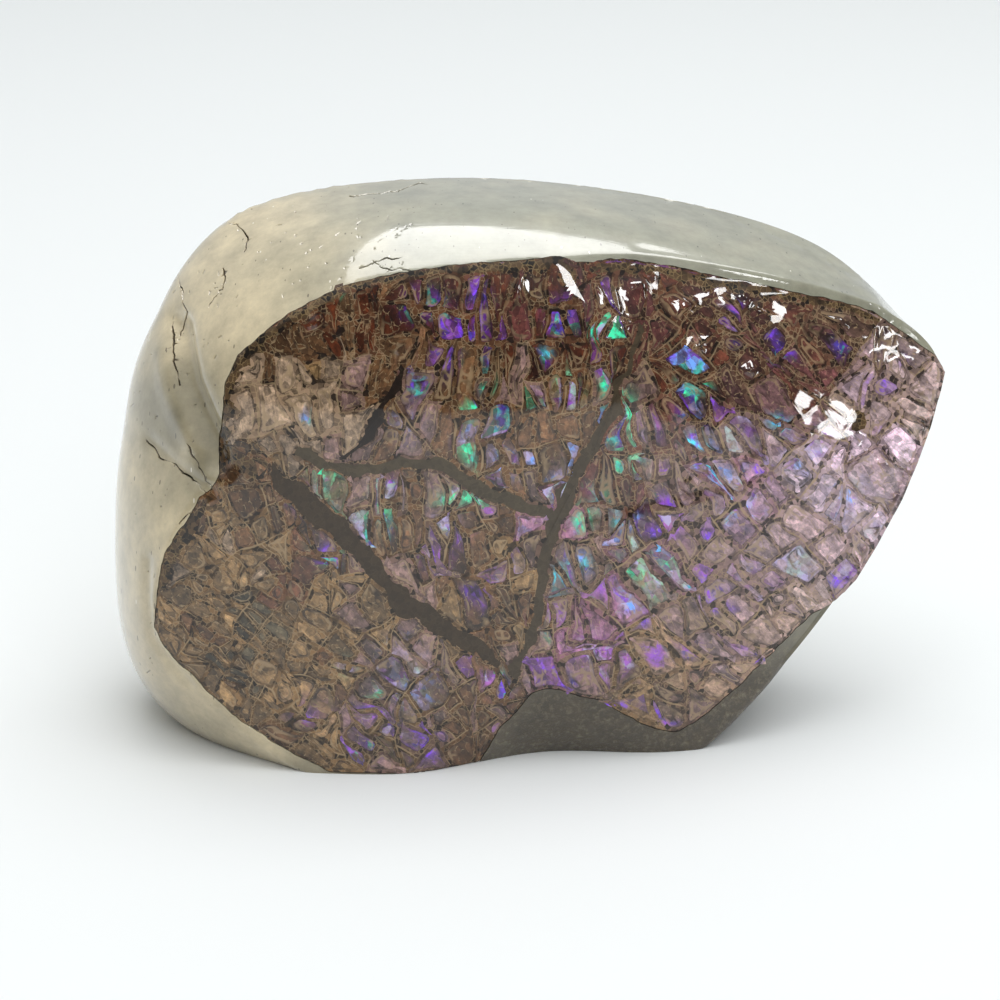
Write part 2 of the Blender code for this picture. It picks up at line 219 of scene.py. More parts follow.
# Flashes that stand out, listed one by one: place, reach along u and v, colour and strength
SPOTS: list[Spot] = [
    (601, 332, 9, 12, GREEN, 1.0), (603, 362, 8, 12, PURPLE, 0.8), (606, 384, 7, 10, GREEN, 0.9),
    (469, 418, 9, 9, GREEN, 1.0), (470, 438, 11, 12, LAVENDER, 0.9), (474, 458, 9, 7, GREEN, 0.9),
    (627, 412, 8, 16, GREEN, 1.0), (620, 440, 10, 14, TEAL, 0.8), (636, 455, 8, 9, JADE, 0.6),
    (690, 388, 11, 13, TEAL, 0.9), (690, 412, 10, 9, BLUE, 0.8), (696, 442, 9, 7, CYAN, 1.0),
    (455, 498, 17, 9, GREEN, 0.95), (446, 522, 12, 14, LAVENDER, 0.7), (456, 535, 8, 9, PURPLE, 0.7),
    (321, 473, 10, 8, GREEN, 0.8), (322, 492, 9, 9, JADE, 0.5), (490, 386, 6, 5, GREEN, 0.8),
    (560, 318, 15, 16, INDIGO, 0.8), (567, 385, 13, 14, JADE, 0.55), (570, 398, 14, 10, LAVENDER, 0.8),
    (582, 520, 8, 12, GREEN, 0.9), (600, 498, 10, 14, TEAL, 0.6), (577, 560, 10, 10, BLUE, 0.9),
    (560, 577, 9, 9, CYAN, 0.7), (376, 702, 7, 13, JADE, 0.9), (369, 715, 18, 12, PURPLE, 0.5),
    (344, 667, 7, 8, JADE, 0.8), (378, 690, 5, 6, GREEN, 0.6), (385, 505, 13, 22, TEAL, 0.55),
    (388, 490, 12, 16, LAVENDER, 0.7), (645, 575, 22, 20, PALE, 0.85), (628, 572, 6, 10, GREEN, 0.7),
    (660, 560, 10, 14, TEAL, 0.5), (780, 424, 12, 7, CYAN, 0.9), (627, 602, 12, 12, BLUE, 1.0),
    (640, 620, 10, 10, VIOLET, 0.8), (612, 585, 12, 9, PURPLE, 0.7), (444, 358, 11, 14, VIOLET, 0.75),
    (478, 320, 9, 11, VIOLET, 0.85), (482, 298, 9, 8, INDIGO, 0.8), (430, 305, 18, 14, INDIGO, 0.6),
    (733, 312, 6, 7, VIOLET, 1.0), (773, 333, 6, 4, VIOLET, 1.0), (713, 282, 9, 5, PURPLE, 0.9),
    (782, 355, 10, 8, INDIGO, 0.9), (711, 598, 12, 10, VIOLET, 0.65), (722, 607, 10, 5, VIOLET, 0.9),
    (688, 650, 10, 5, VIOLET, 0.8), (655, 655, 10, 11, PURPLE, 0.85), (745, 500, 16, 18, LAVENDER, 0.85),
    (752, 492, 8, 10, PURPLE, 0.6), (728, 522, 6, 6, BLUE, 0.7), (425, 748, 13, 12, VIOLET, 0.8),
    (410, 735, 10, 8, PURPLE, 0.5), (366, 750, 15, 9, INDIGO, 0.6), (308, 712, 15, 13, PURPLE, 0.5),
    (410, 692, 22, 20, LAVENDER, 0.45), (478, 598, 10, 10, VIOLET, 0.6), (433, 556, 14, 13, PURPLE, 0.6),
    (501, 690, 7, 10, INDIGO, 0.95), (498, 676, 6, 5, TEAL, 0.9), (486, 678, 9, 7, MAGENTA, 0.9),
    (535, 682, 7, 5, VIOLET, 0.8), (570, 680, 7, 6, VIOLET, 0.7), (615, 706, 12, 4, VIOLET, 0.85),
    (671, 723, 10, 3, VIOLET, 0.9), (760, 660, 7, 4, VIOLET, 0.8), (596, 655, 24, 20, MAGENTA, 0.6),
    (556, 615, 18, 16, MAGENTA, 0.5), (625, 658, 12, 16, MAGENTA, 0.55), (541, 628, 12, 10, PALE, 0.3),
    (546, 638, 4, 4, TEAL, 0.6), (632, 525, 12, 12, BLUE, 0.55), (618, 520, 9, 9, CYAN, 0.5),
    (668, 505, 10, 8, VIOLET, 0.8), (676, 530, 12, 12, PURPLE, 0.7), (712, 470, 10, 8, BLUE, 0.6),
    (764, 470, 8, 8, VIOLET, 0.7), (805, 455, 22, 20, LAVENDER, 0.7), (850, 500, 20, 18, LAVENDER, 0.55),
    (652, 528, 8, 7, VIOLET, 0.8), (660, 470, 7, 6, MAGENTA, 0.6), (836, 578, 8, 6, VIOLET, 0.6),
    (300, 500, 14, 12, INDIGO, 0.4), (328, 553, 13, 10, INDIGO, 0.6), (345, 300, 3, 3, GREEN, 0.3),
    (415, 384, 10, 18, INDIGO, 0.55), (403, 425, 14, 16, LAVENDER, 0.4), (308, 418, 5, 4, CYAN, 0.6),
    (547, 355, 5, 8, CYAN, 0.8), (545, 405, 5, 5, TEAL, 0.4), (500, 465, 20, 18, LAVENDER, 0.45),
    (400, 655, 20, 18, LAVENDER, 0.3), (560, 480, 10, 12, LAVENDER, 0.4), (650, 425, 10, 12, PURPLE, 0.5),
    (840, 345, 9, 8, INDIGO, 0.5), (905, 362, 6, 8, PURPLE, 0.5), (880, 430, 9, 5, PURPLE, 0.6),
]

# Veins of stone through the shell, and last an open crack whose dark is painted shade: places and half widths
# in pixels
VEINS: list[list[tuple[float, float, float]]] = [
    [(266, 470, 6), (277, 477, 9), (297, 493, 10), (323, 517, 10), (347, 537, 10), (367, 557, 9),
     (383, 583, 8), (403, 603, 9), (423, 613, 10), (447, 630, 9), (467, 643, 7), (487, 653, 6),
     (502, 668, 3)],
    [(294, 448, 3), (325, 464, 5), (357, 473, 6), (382, 465, 5), (400, 461, 5), (422, 463, 5), (445, 467, 6),
     (483, 490, 6), (513, 502, 5), (543, 511, 5), (556, 516, 4)],
    [(643, 322, 2), (636, 350, 3), (623, 380, 4), (610, 410, 5), (597, 440, 6), (583, 463, 7), (567, 497, 8),
     (556, 522, 9), (549, 545, 7), (542, 583, 4), (537, 610, 4), (531, 637, 5), (522, 660, 5), (513, 680, 5)],
    [(407, 362, 3), (401, 374, 4), (391, 394, 3), (381, 414, 4), (368, 436, 4), (355, 452, 3), (346, 461, 2)],
]

# Tones of the veins and how uneven their edges are, in the same order; the last tone is the painted shade of
# the open crack
VEIN_TONES = ("3B2E1F", "4A4030", "463B2C", "1E120B")
VEIN_ROUGHNESS = (0.22, 0.28, 0.5, 0.7)
CRUST_ROUGHNESS = 1.3

# Weathered crust along the upper edge of the shell, given as the veins are
CRUST: list[list[tuple[float, float, float]]] = [
    [(222, 440, 7), (228, 392, 8), (241, 360, 6), (266, 337, 4), (290, 319, 4), (318, 303, 5), (344, 290, 4)],
    [(344, 288, 3), (382, 280, 3), (420, 273, 3), (470, 268, 4), (525, 264, 4), (562, 262, 6), (572, 284, 7)],
    [(590, 268, 3), (640, 268, 5), (690, 276, 5), (740, 286, 5), (790, 296, 4), (840, 306, 3), (880, 320, 2)],
    [(216, 470, 5), (226, 452, 7), (240, 462, 8), (262, 474, 8)],
    [(850, 414, 5), (858, 420, 8), (866, 423, 5)],
    [(163, 590, 4), (168, 562, 5), (180, 538, 6), (196, 516, 6), (212, 498, 5)],
]

# Small swellings of the polish that mirror the small lamps: place, reach in pixels, rise in millimetres
GLINTS: list[tuple[float, float, float, float]] = [
    (517, 285, 7, 0.40), (612, 296, 7, 0.34), (622, 318, 6, 0.30), (640, 282, 6, 0.25), (688, 300, 7, 0.34),
    (697, 341, 8, 0.36), (742, 290, 8, 0.36), (757, 303, 5, 0.2), (748, 366, 6, 0.3), (842, 316, 6, 0.2),
    (886, 462, 9, 0.42), (868, 450, 6, 0.3), (312, 318, 6, 0.36), (398, 345, 5, 0.2),
]

# How the cracks wander: how far and how often in pixels, and the seed across
WANDER = ((1.6, 9, 3), (0.8, 4, 5), (7, 25, 7))
WANDER_FADE = 16             # distance in pixels over which they calm down towards the outline
LEAST_AREA = 60              # smallest area in square pixels of a cell that is still split
LONGEST_EDGE = 6.5           # longest edge in pixels that is left straight
CRACK_DEPTH = 0.10           # depth in millimetres of the crushed shell below the plates
PROUD = 0.01                 # how far in millimetres the plates stand in front of the block's form

# Brightness of the plates and of the facets in them, and strength of the scattered flashes
PLATE_SHADES = (0.48, 1.5)
FACET_SHADES = (0.8, 1.22)
FACET_GLEAM = (0.45, 1.3)
SCATTERED_FLASH = (0.2, 0.6)

# Main cracks between the plates
MAIN_CRACKS: list[list[Pixel]] = [
    [(630, 455), (650, 500), (667, 537), (690, 570), (710, 617), (735, 640), (773, 650)],
    [(600, 545), (620, 575), (645, 605), (670, 647), (687, 675)],
    [(570, 590), (592, 600), (622, 625), (637, 655), (650, 682)],
    [(542, 599), (582, 592), (615, 572), (657, 537), (690, 515)],
    [(622, 630), (650, 612), (695, 592), (725, 570), (760, 530), (800, 497)],
    [(570, 647), (612, 642), (640, 632)],
    [(600, 702), (637, 686), (670, 672), (710, 662), (763, 660)],
    [(612, 647), (612, 675), (608, 698)],
    [(680, 455), (705, 500), (720, 535), (750, 557), (780, 570), (822, 604)],
    [(760, 455), (792, 495), (810, 505), (835, 525), (852, 545)],
    [(740, 585), (755, 605), (790, 640)],
    [(702, 315), (735, 335), (767, 355), (800, 377), (825, 395)],
    [(650, 360), (680, 372), (702, 390), (730, 405), (790, 425), (850, 445)],
    [(430, 343), (480, 341), (530, 341), (585, 342)],
    [(270, 357), (300, 353), (347, 357)],
    [(345, 345), (341, 380), (337, 435), (350, 462)],
    [(287, 410), (292, 425), (302, 444)],
    [(380, 300), (376, 345), (392, 362), (395, 400)],
    [(520, 505), (512, 540), (500, 560), (470, 575), (440, 570)],
    [(430, 570), (470, 575), (500, 600), (530, 630)],
    [(300, 500), (290, 560), (285, 600), (250, 640), (215, 690)],
    [(200, 600), (240, 640), (290, 670), (330, 690), (345, 760)],
    [(330, 560), (300, 610), (280, 650), (300, 700)],
    [(400, 610), (390, 650), (350, 690), (330, 720)],
    [(440, 630), (430, 670), (400, 700), (395, 740), (400, 770)],
    [(470, 645), (480, 680), (470, 720), (478, 760)],
]


@dataclass(frozen=True)
class Dent:
    """A hollow ground into the block, or a swelling where the depth is negative.

    Attributes:
        path: Its line in the photograph.
        reach: Distance in pixels over which it fades out.
        depth: Depth in millimetres.
        rough: How uneven it is.
    """

    path: tuple[Pixel, ...]
    reach: float
    depth: float
    rough: float = 0.0


DENTS = (
    Dent(((225, 222), (255, 205), (300, 190), (430, 177), (560, 181), (700, 205), (800, 245), (862, 281)),
         3, 0.06, 5.0),
    Dent(((150, 330), (135, 380), (122, 440), (116, 520)), 40, 0.25, 1.0),
    Dent(((176, 322), (180, 350), (186, 382), (199, 414), (215, 446), (219, 462)), 12, 1.9),
    Dent(((162, 350), (166, 385), (176, 415), (192, 445)), 9, -0.35),
    Dent(((150, 440), (172, 462), (196, 480), (212, 490)), 6, 0.35),
    Dent(((147, 560), (147, 600), (152, 636), (166, 656), (190, 684)), 5, 0.35),
    Dent(((640, 250), (700, 262), (770, 276), (850, 292)), 5, 0.12),
    Dent(((860, 290), (874, 300), (884, 318)), 6, -0.3),
    Dent(((935, 420), (908, 490), (870, 560), (830, 612), (790, 660)), 16, 0.7),
)


@dataclass(frozen=True)
class Crack:
    """A natural crack in the stone.

    Attributes:
        path: Its line in the photograph.
        width: Width at the surface in millimetres.
        depth: Depth in millimetres.
    """

    path: tuple[Pixel, ...]
    width: float = 0.22
    depth: float = 0.5


# Regions with small pits, and how many each has
PITTED = [
    ((205, 205, 420, 300), 50), ((160, 270, 240, 360), 24),
    ((130, 330, 215, 440), 16), ((120, 440, 200, 700), 22),
]

# Longest edges in millimetres that are left beside the marks, from one refinement to the next
REFINED = (0.8, 0.45, 0.25, 0.14)
# Size in pixels of the squares in which marks are looked up
BIN_PX = 8

# Middle of the flute on the left, and how far its greenish grey reaches in pixels: partly stone, partly
# painted shade
FLUTE_REACH = 30
FLUTE_LINE = [(150, 400), (168, 430), (186, 385), (199, 414), (215, 446), (200, 480)]

# Lower and upper edge of the shell's upper right shoulder, which is turned back
SHOULDER_LINE: list[Pixel] = [
    (560, 262), (640, 400), (664, 426), (793, 428), (831, 464), (893, 481), (1000, 510),
]
UPPER_EDGE: list[Pixel] = [(560, 258), (640, 262), (764, 286), (872, 312), (934, 356), (1000, 400)]

STONE_CRACKS = (
    Crack(((179, 278), (182, 291), (185, 310), (182, 334))),
    Crack(((172, 322), (173, 345), (176, 368), (180, 385)), 0.3),
    Crack(((148, 442), (158, 452), (167, 460), (178, 466), (187, 475), (196, 484), (208, 491)), 0.24),
    Crack(((188, 446), (196, 458), (200, 472), (208, 482), (214, 489)), 0.26),
    Crack(((226, 222), (236, 226), (248, 236), (243, 250)), 0.16),
    Crack(((420, 184), (404, 188), (380, 192), (362, 192), (348, 198)), 0.09),
    Crack(((226, 268), (222, 290), (210, 306)), 0.12),
    Crack(((372, 262), (384, 267), (402, 270), (412, 272)), 0.2),
    Crack(((360, 268), (380, 262), (398, 258)), 0.12),
    Crack(((206, 520), (190, 512), (182, 524)), 0.12),
)


# Helpers


def linear(hex_colour: str) -> tuple[float, float, float, float]:
    """Turns an sRGB hex colour to linear light.

    Args:
        hex_colour: Six hex digits, without a leading sign.

    Returns:
        Red, green, blue and an alpha of one.
    """
    parts = [int(hex_colour[i:i + 2], 16) / 255 for i in (0, 2, 4)]
    return (*[p / 12.92 if p <= 0.04045 else ((p + 0.055) / 1.055) ** 2.4 for p in parts], 1.0)


def rgb(colour: Enum) -> Vector:
    """Returns the linear red, green and blue of a tone or a flash."""
    return Vector(linear(colour.value)[:3])


def feed(node: bpy.types.Node, inputs: dict) -> None:
    """Sets the inputs of a node.

    Args:
        node: The node.
        inputs: Socket name or index to a value, to the socket that feeds it, or to a node whose first
            output that is in use feeds it.
    """
    for key, source in inputs.items():
        if isinstance(source, bpy.types.Node):
            source = next(socket for socket in source.outputs if socket.enabled)
        if isinstance(source, bpy.types.NodeSocket):
            node.id_data.links.new(source, node.inputs[key])
        else:
            node.inputs[key].default_value = source


def add(tree: bpy.types.NodeTree, kind: str, inputs: Optional[dict] = None, **settings) -> bpy.types.Node:
    """Adds one node to a tree, with its settings, socket values and incoming links.

    Args:
        tree: The node tree.
        kind: Node type without the leading "ShaderNode".
        inputs: What its inputs are given, as in feed.
        settings: Properties of the node.

    Returns:
        The new node.
    """
    node = tree.nodes.new("ShaderNode" + kind)
    for key, value in settings.items():
        setattr(node, key, value)
    feed(node, inputs or {})
    return node


def new_material(name: str) -> tuple[bpy.types.Material, bpy.types.NodeTree, bpy.types.Node]:
    """Starts a node material.

    Args:
        name: Name of the real material.

    Returns:
        The material, its node tree and its shader node.
    """
    material = bpy.data.materials.new(name)
    material.use_nodes = True
    tree = material.node_tree
    return material, tree, tree.nodes["Principled BSDF"]


def inside(at: Pixel, loop: list[Pixel]) -> bool:
    """Tells whether a place lies inside a closed loop.

    Args:
        at: The place.
        loop: Corners of the loop.

    Returns:
        True inside.
    """
    u, v = at
    odd = False
    for (u0, v0), (u1, v1) in zip(loop, loop[1:] + loop[:1]):
        if (v0 > v) != (v1 > v) and u < (u1 - u0) * (v - v0) / (v1 - v0) + u0:
            odd = not odd
    return odd


def clamp(value: float, low: float = 0.0) -> float:
    """Keeps a value between a lower limit and one."""
    return min(1.0, max(low, value))


def wobble(at: Pixel, grain: float, seed: float) -> float:
    """Smooth noise from -1 to 1 over the photograph's frame.

    Args:
        at: The place.
        grain: Size of the noise in pixels.
        seed: Picks one of many patterns.

    Returns:
        The noise's value.
    """
    return noise.noise(Vector((at[0] / grain, at[1] / grain, seed)))


def dense(points: list[Pixel], step: float, closed: bool) -> list[Pixel]:
    """Adds points to a line so that none are further apart than a step.

    Args:
        points: Corners of the line.
        step: Largest spacing in pixels.
        closed: Whether the line returns to its start.

    Returns:
        The finer line.
    """
    finer = []
    ends = points[1:] + points[:1] if closed else points[1:]
    for (u0, v0), (u1, v1) in zip(points, ends):
        count = max(1, math.ceil(math.hypot(u1 - u0, v1 - v0) / step))
        finer += [(u0 + (u1 - u0) * i / count, v0 + (v1 - v0) * i / count) for i in range(count)]
    return finer if closed else finer + [points[-1]]


def offset(points: list[Pixel], reach: Iterable[float], closed: bool) -> list[Pixel]:
    """Moves the points of a line to its left by a distance each.

    Args:
        points: The line.
        reach: Distance in pixels for each point.
        closed: Whether the line returns to its start.

    Returns:
        The moved line.
    """
    moved = []
    last = len(points) - 1
    for i, ((u, v), d) in enumerate(zip(points, reach)):
        before = points[i - 1] if closed or i > 0 else points[i]
        after = points[(i + 1) % len(points)] if closed or i < last else points[i]
        du, dv = after[0] - before[0], after[1] - before[1]
        length = math.hypot(du, dv) or 1.0
        moved.append((u - dv / length * d, v + du / length * d))
    return moved


def baked(item: bpy.types.Object) -> bpy.types.Mesh:
    """Applies an object's modifiers.

    Args:
        item: The object, which is removed.

    Returns:
        Its final mesh.
    """
    bpy.context.view_layer.update()
    mesh = bpy.data.meshes.new_from_object(item.evaluated_get(bpy.context.evaluated_depsgraph_get()))
    bpy.data.objects.remove(item)
    return mesh


def ordered(mesh: bpy.types.Mesh) -> bpy.types.Mesh:
    """Gives a mesh an order of corners that is the same in each run, which a parallel Boolean doesn't.

    Args:
        mesh: The mesh.

    Returns:
        The same shape as a new mesh.
    """
    corners = sorted(range(len(mesh.vertices)), key=lambda k: tuple(mesh.vertices[k].co))
    rank = {old: new for new, old in enumerate(corners)}
    faces = []
    for face in mesh.polygons:
        loop = [rank[k] for k in face.vertices]
        first = loop.index(min(loop))
        faces.append(loop[first:] + loop[:first])
    new = bpy.data.meshes.new(mesh.name)
    new.from_pydata([mesh.vertices[k].co for k in corners], [], sorted(faces))
    return new


def placed(name: str, mesh: bpy.types.Mesh) -> bpy.types.Object:
    """Puts a mesh in the scene as an object at the origin.

    Args:
        name: Name of the object.
        mesh: Its mesh.

    Returns:
        The object.
    """
    item = bpy.data.objects.new(name, mesh)
    bpy.context.scene.collection.objects.link(item)
    return item


def stored(shape: bmesh.types.BMesh, name: str) -> bpy.types.Mesh:
    """Writes a bmesh to a new mesh and frees it.

    Args:
        shape: The bmesh.
        name: Name of the mesh.

    Returns:
        The mesh.
    """
    mesh = bpy.data.meshes.new(name)
    shape.to_mesh(mesh)
    shape.free()
    return mesh


# The form


@dataclass(frozen=True)
class Viewpoint:
    """Where the photograph was taken from, in CAD millimetres."""

    eye: tuple[float, float, float] = (-3.461, -354.14, 174.15)
    aim: tuple[float, float, float] = (-3.461, -1.805, 31.8)
    lens: float = 100.0
    sensor: float = 36.0

    def axes(self) -> tuple[Vector, Vector, Vector]:
        """Returns the directions to the front, the right and up of the view."""
        front = (Vector(self.aim) - Vector(self.eye)).normalized()
        right = front.cross(Vector((0, 0, 1))).normalized()
        return front, right, right.cross(front)

    def ray(self, at: Pixel) -> Vector:
        """Finds the direction in which a pixel looks.

        Args:
            at: The pixel.

        Returns:
            A unit direction.
        """
        front, right, up = self.axes()
        scale = self.sensor / self.lens / FRAME_PX
        half = FRAME_PX / 2
        return (front + right * ((at[0] - half) * scale) - up * ((at[1] - half) * scale)).normalized()

    def pixel(self, point: Vector) -> Pixel:
        """Finds the pixel that shows a point.

        Args:
            point: The point in metres.

        Returns:
            Its pixel.
        """
        front, right, up = self.axes()
        away = point - Vector(self.eye) * MM
        scale = FRAME_PX * self.lens / self.sensor / away.dot(front)
        return FRAME_PX / 2 + away.dot(right) * scale, FRAME_PX / 2 - away.dot(up) * scale


@dataclass
class FreeForm:
    """The block's smooth polished form, from which the stone and the shell take their surface."""

    view: Viewpoint
    levels: int = 4
    face_curve: tuple[float, float, float] = (-14.0, 0.0040, 0.0016)
    back_depth: float = 45.0
    back_middle: tuple[float, float] = (-8.0, 34.0)
    back_curve: tuple[float, float] = (0.0028, 0.0020)
    centre: tuple[float, float] = (2.0, 34.0)
    mesh: Optional[bpy.types.Mesh] = None
    tree: Optional[BVHTree] = None
    corners: list = field(default_factory=list)

    def build(self) -> None:
        """Makes the smooth mesh and the tree that rays are cast on."""
        item = placed("form", self.cage())
        smooth = item.modifiers.new("smooth", "SUBSURF")
        smooth.levels = smooth.render_levels = self.levels
        self.mesh = baked(item)
        self.sculpt()
        shape = bmesh.new()
        shape.from_mesh(self.mesh)
        bmesh.ops.triangulate(shape, faces=shape.faces)
        self.tree = BVHTree.FromBMesh(shape)
        self.corners = [[(v.co.copy(), v.normal.copy()) for v in f.verts] for f in shape.faces]
        shape.free()

    def sculpt(self) -> None:
        """Works the hollows and the turned-back upper right shoulder into the smooth mesh."""
        eye = Vector(self.view.eye) * MM
        moves = []
        for vert in self.mesh.vertices:
            facing = (eye - vert.co).normalized().dot(vert.normal)
            weight = clamp((facing + 0.35) / 0.35)
            nearness = clamp((24 - vert.co.y / MM) / 14)
            at = self.view.pixel(vert.co)
            sunk = 0.0
            for dent in DENTS:
                away = min(distance_to(at, a, b) for a, b in zip(dent.path, dent.path[1:]))
                uneven = 1 + dent.rough * wobble(at, 2.5 * dent.reach, dent.depth * 50) if dent.rough else 1
                sunk += dent.depth * uneven * math.exp(-(away / dent.reach) ** 2)
            move = vert.normal * (-sunk * weight) + Vector((0, self.turned_back(at) * nearness, 0))
            moves.append((vert.index, move * MM))
        for index, move in moves:
            self.mesh.vertices[index].co += move
        self.mesh.update()

    def turned_back(self, at: Pixel) -> float:
        """Finds how far the shell's upper right shoulder is turned back.

        Args:
            at: The pixel.

        Returns:
            The distance in millimetres.
        """
        line, edge = level(SHOULDER_LINE, at[0]), level(UPPER_EDGE, at[0])
        above = max(0.0, line - max(at[1], edge)) / PX_PER_MM
        fade = clamp(1 - (edge - at[1]) / 60)
        return 0.075 * above * fade

    def cage(self) -> bpy.types.Mesh:
        """Bridges seven rings of thirty stations into the control cage.

        Returns:
            The cage, closed, with creases on its polished edges.
        """
        shape = bmesh.new()
        crease = shape.edges.layers.float.new("crease_edge")
        rings = [self.front_ring(0.42), self.front_ring(0.80), self.front_ring(1.0)]
        rings += [[self.shoulder(k) for k in range(len(GIRDLE))], [Vector(g) for g in GIRDLE]]
        rings += [self.back_ring(0.93, 0.75), self.back_ring(0.50, 1.0)]
        loops = []
        for ring in rings:
            circle = bmesh.ops.create_circle(shape, segments=len(ring), radius=1.0)["verts"]
            for vert, place in zip(circle, ring):
                vert.co = (place + TO_CAD) * MM
            loops.append(circle)
        edge_loops = [[shape.edges.get((a, b)) for a, b in zip(loop, loop[1:] + loop[:1])] for loop in loops]
        for near, far in zip(edge_loops, edge_loops[1:]):
            bmesh.ops.bridge_loops(shape, edges=near + far)
        for end in (edge_loops[0], edge_loops[-1]):
            bmesh.ops.contextual_create(shape, geom=end)
        bmesh.ops.recalc_face_normals(shape, faces=shape.faces)
        for k, edge in enumerate(edge_loops[2]):
            edge[crease] = 0.7
        for k in CROWN:
            edge_loops[4][k][crease] = 0.8
        return stored(shape, "form")

    def depth(self, x: float, z: float) -> float:
        """Returns how far back the domed face lies at a place."""
        nearest, curve_x, curve_z = self.face_curve
        return curve_x * (x - nearest) ** 2 + curve_z * z ** 2

    def front_ring(self, share: float) -> list[Vector]:
        """Places a ring on the face.

        Args:
            share: Size of the ring against the face's edge.

        Returns:
            Its stations.
        """
        cx, cz = self.centre
        ring = []
        for x, z, extra in FACE_EDGE:
            nx, nz = cx + (x - cx) * share, cz + (z - cz) * share
            ring.append(Vector((nx, self.depth(nx, nz) + extra * share ** 4, nz)))
        return ring

    def shoulder(self, k: int) -> Vector:
        """Places a station of the shoulder between the face's edge and the widest outline.

        Args:
            k: Number of the station.

        Returns:
            Its place.
        """
        near = self.front_ring(1.0)[k]
        far = Vector(GIRDLE[k])
        out, deep, lift = (0.24, 0.28, 4.0) if k in CROWN else (0.5, 0.3, 0.0)
        out = 0.41 if k in FLUTE else out
        lift *= max(0.0, 1 - abs(near.x + 8) / 45)
        step = far - near
        return near + Vector((step.x * out, step.y * deep, step.z * out + lift))

    def back_ring(self, share: float, towards: float) -> list[Vector]:
        """Places a ring between the widest outline and the back.

        Args:
            share: Size of the ring against the widest outline.
            towards: How far it lies towards the domed back, from 0 to 1.

        Returns:
            Its stations.
        """
        cx, cz = self.centre
        ring = []
        for k, (x, y, z) in enumerate(GIRDLE):
            kept = max(share, 0.985) if k in CROWN and towards < 1 else share
            nx, nz = cx + (x - cx) * kept, cz + (z - cz) * kept
            back = self.back_depth - self.back_curve[0] * (nx - self.back_middle[0]) ** 2
            back -= self.back_curve[1] * (nz - self.back_middle[1]) ** 2
            ring.append(Vector((nx, y + (back - y) * towards, nz)))
        return ring

    def hit(self, at: Pixel) -> Optional[tuple[Vector, Vector]]:
        """Finds the place of the form that a pixel shows.

        Args:
            at: The pixel.

        Returns:
            The place and the smooth normal there, or nothing beyond the outline.
        """
        place, _, index, _ = self.tree.ray_cast(Vector(self.view.eye) * MM, self.view.ray(at))
        if place is None:
            return None
        (a, na), (b, nb), (c, nc) = self.corners[index]
        return place, barycentric_transform(place, a, b, c, na, nb, nc).normalized()


# The stone


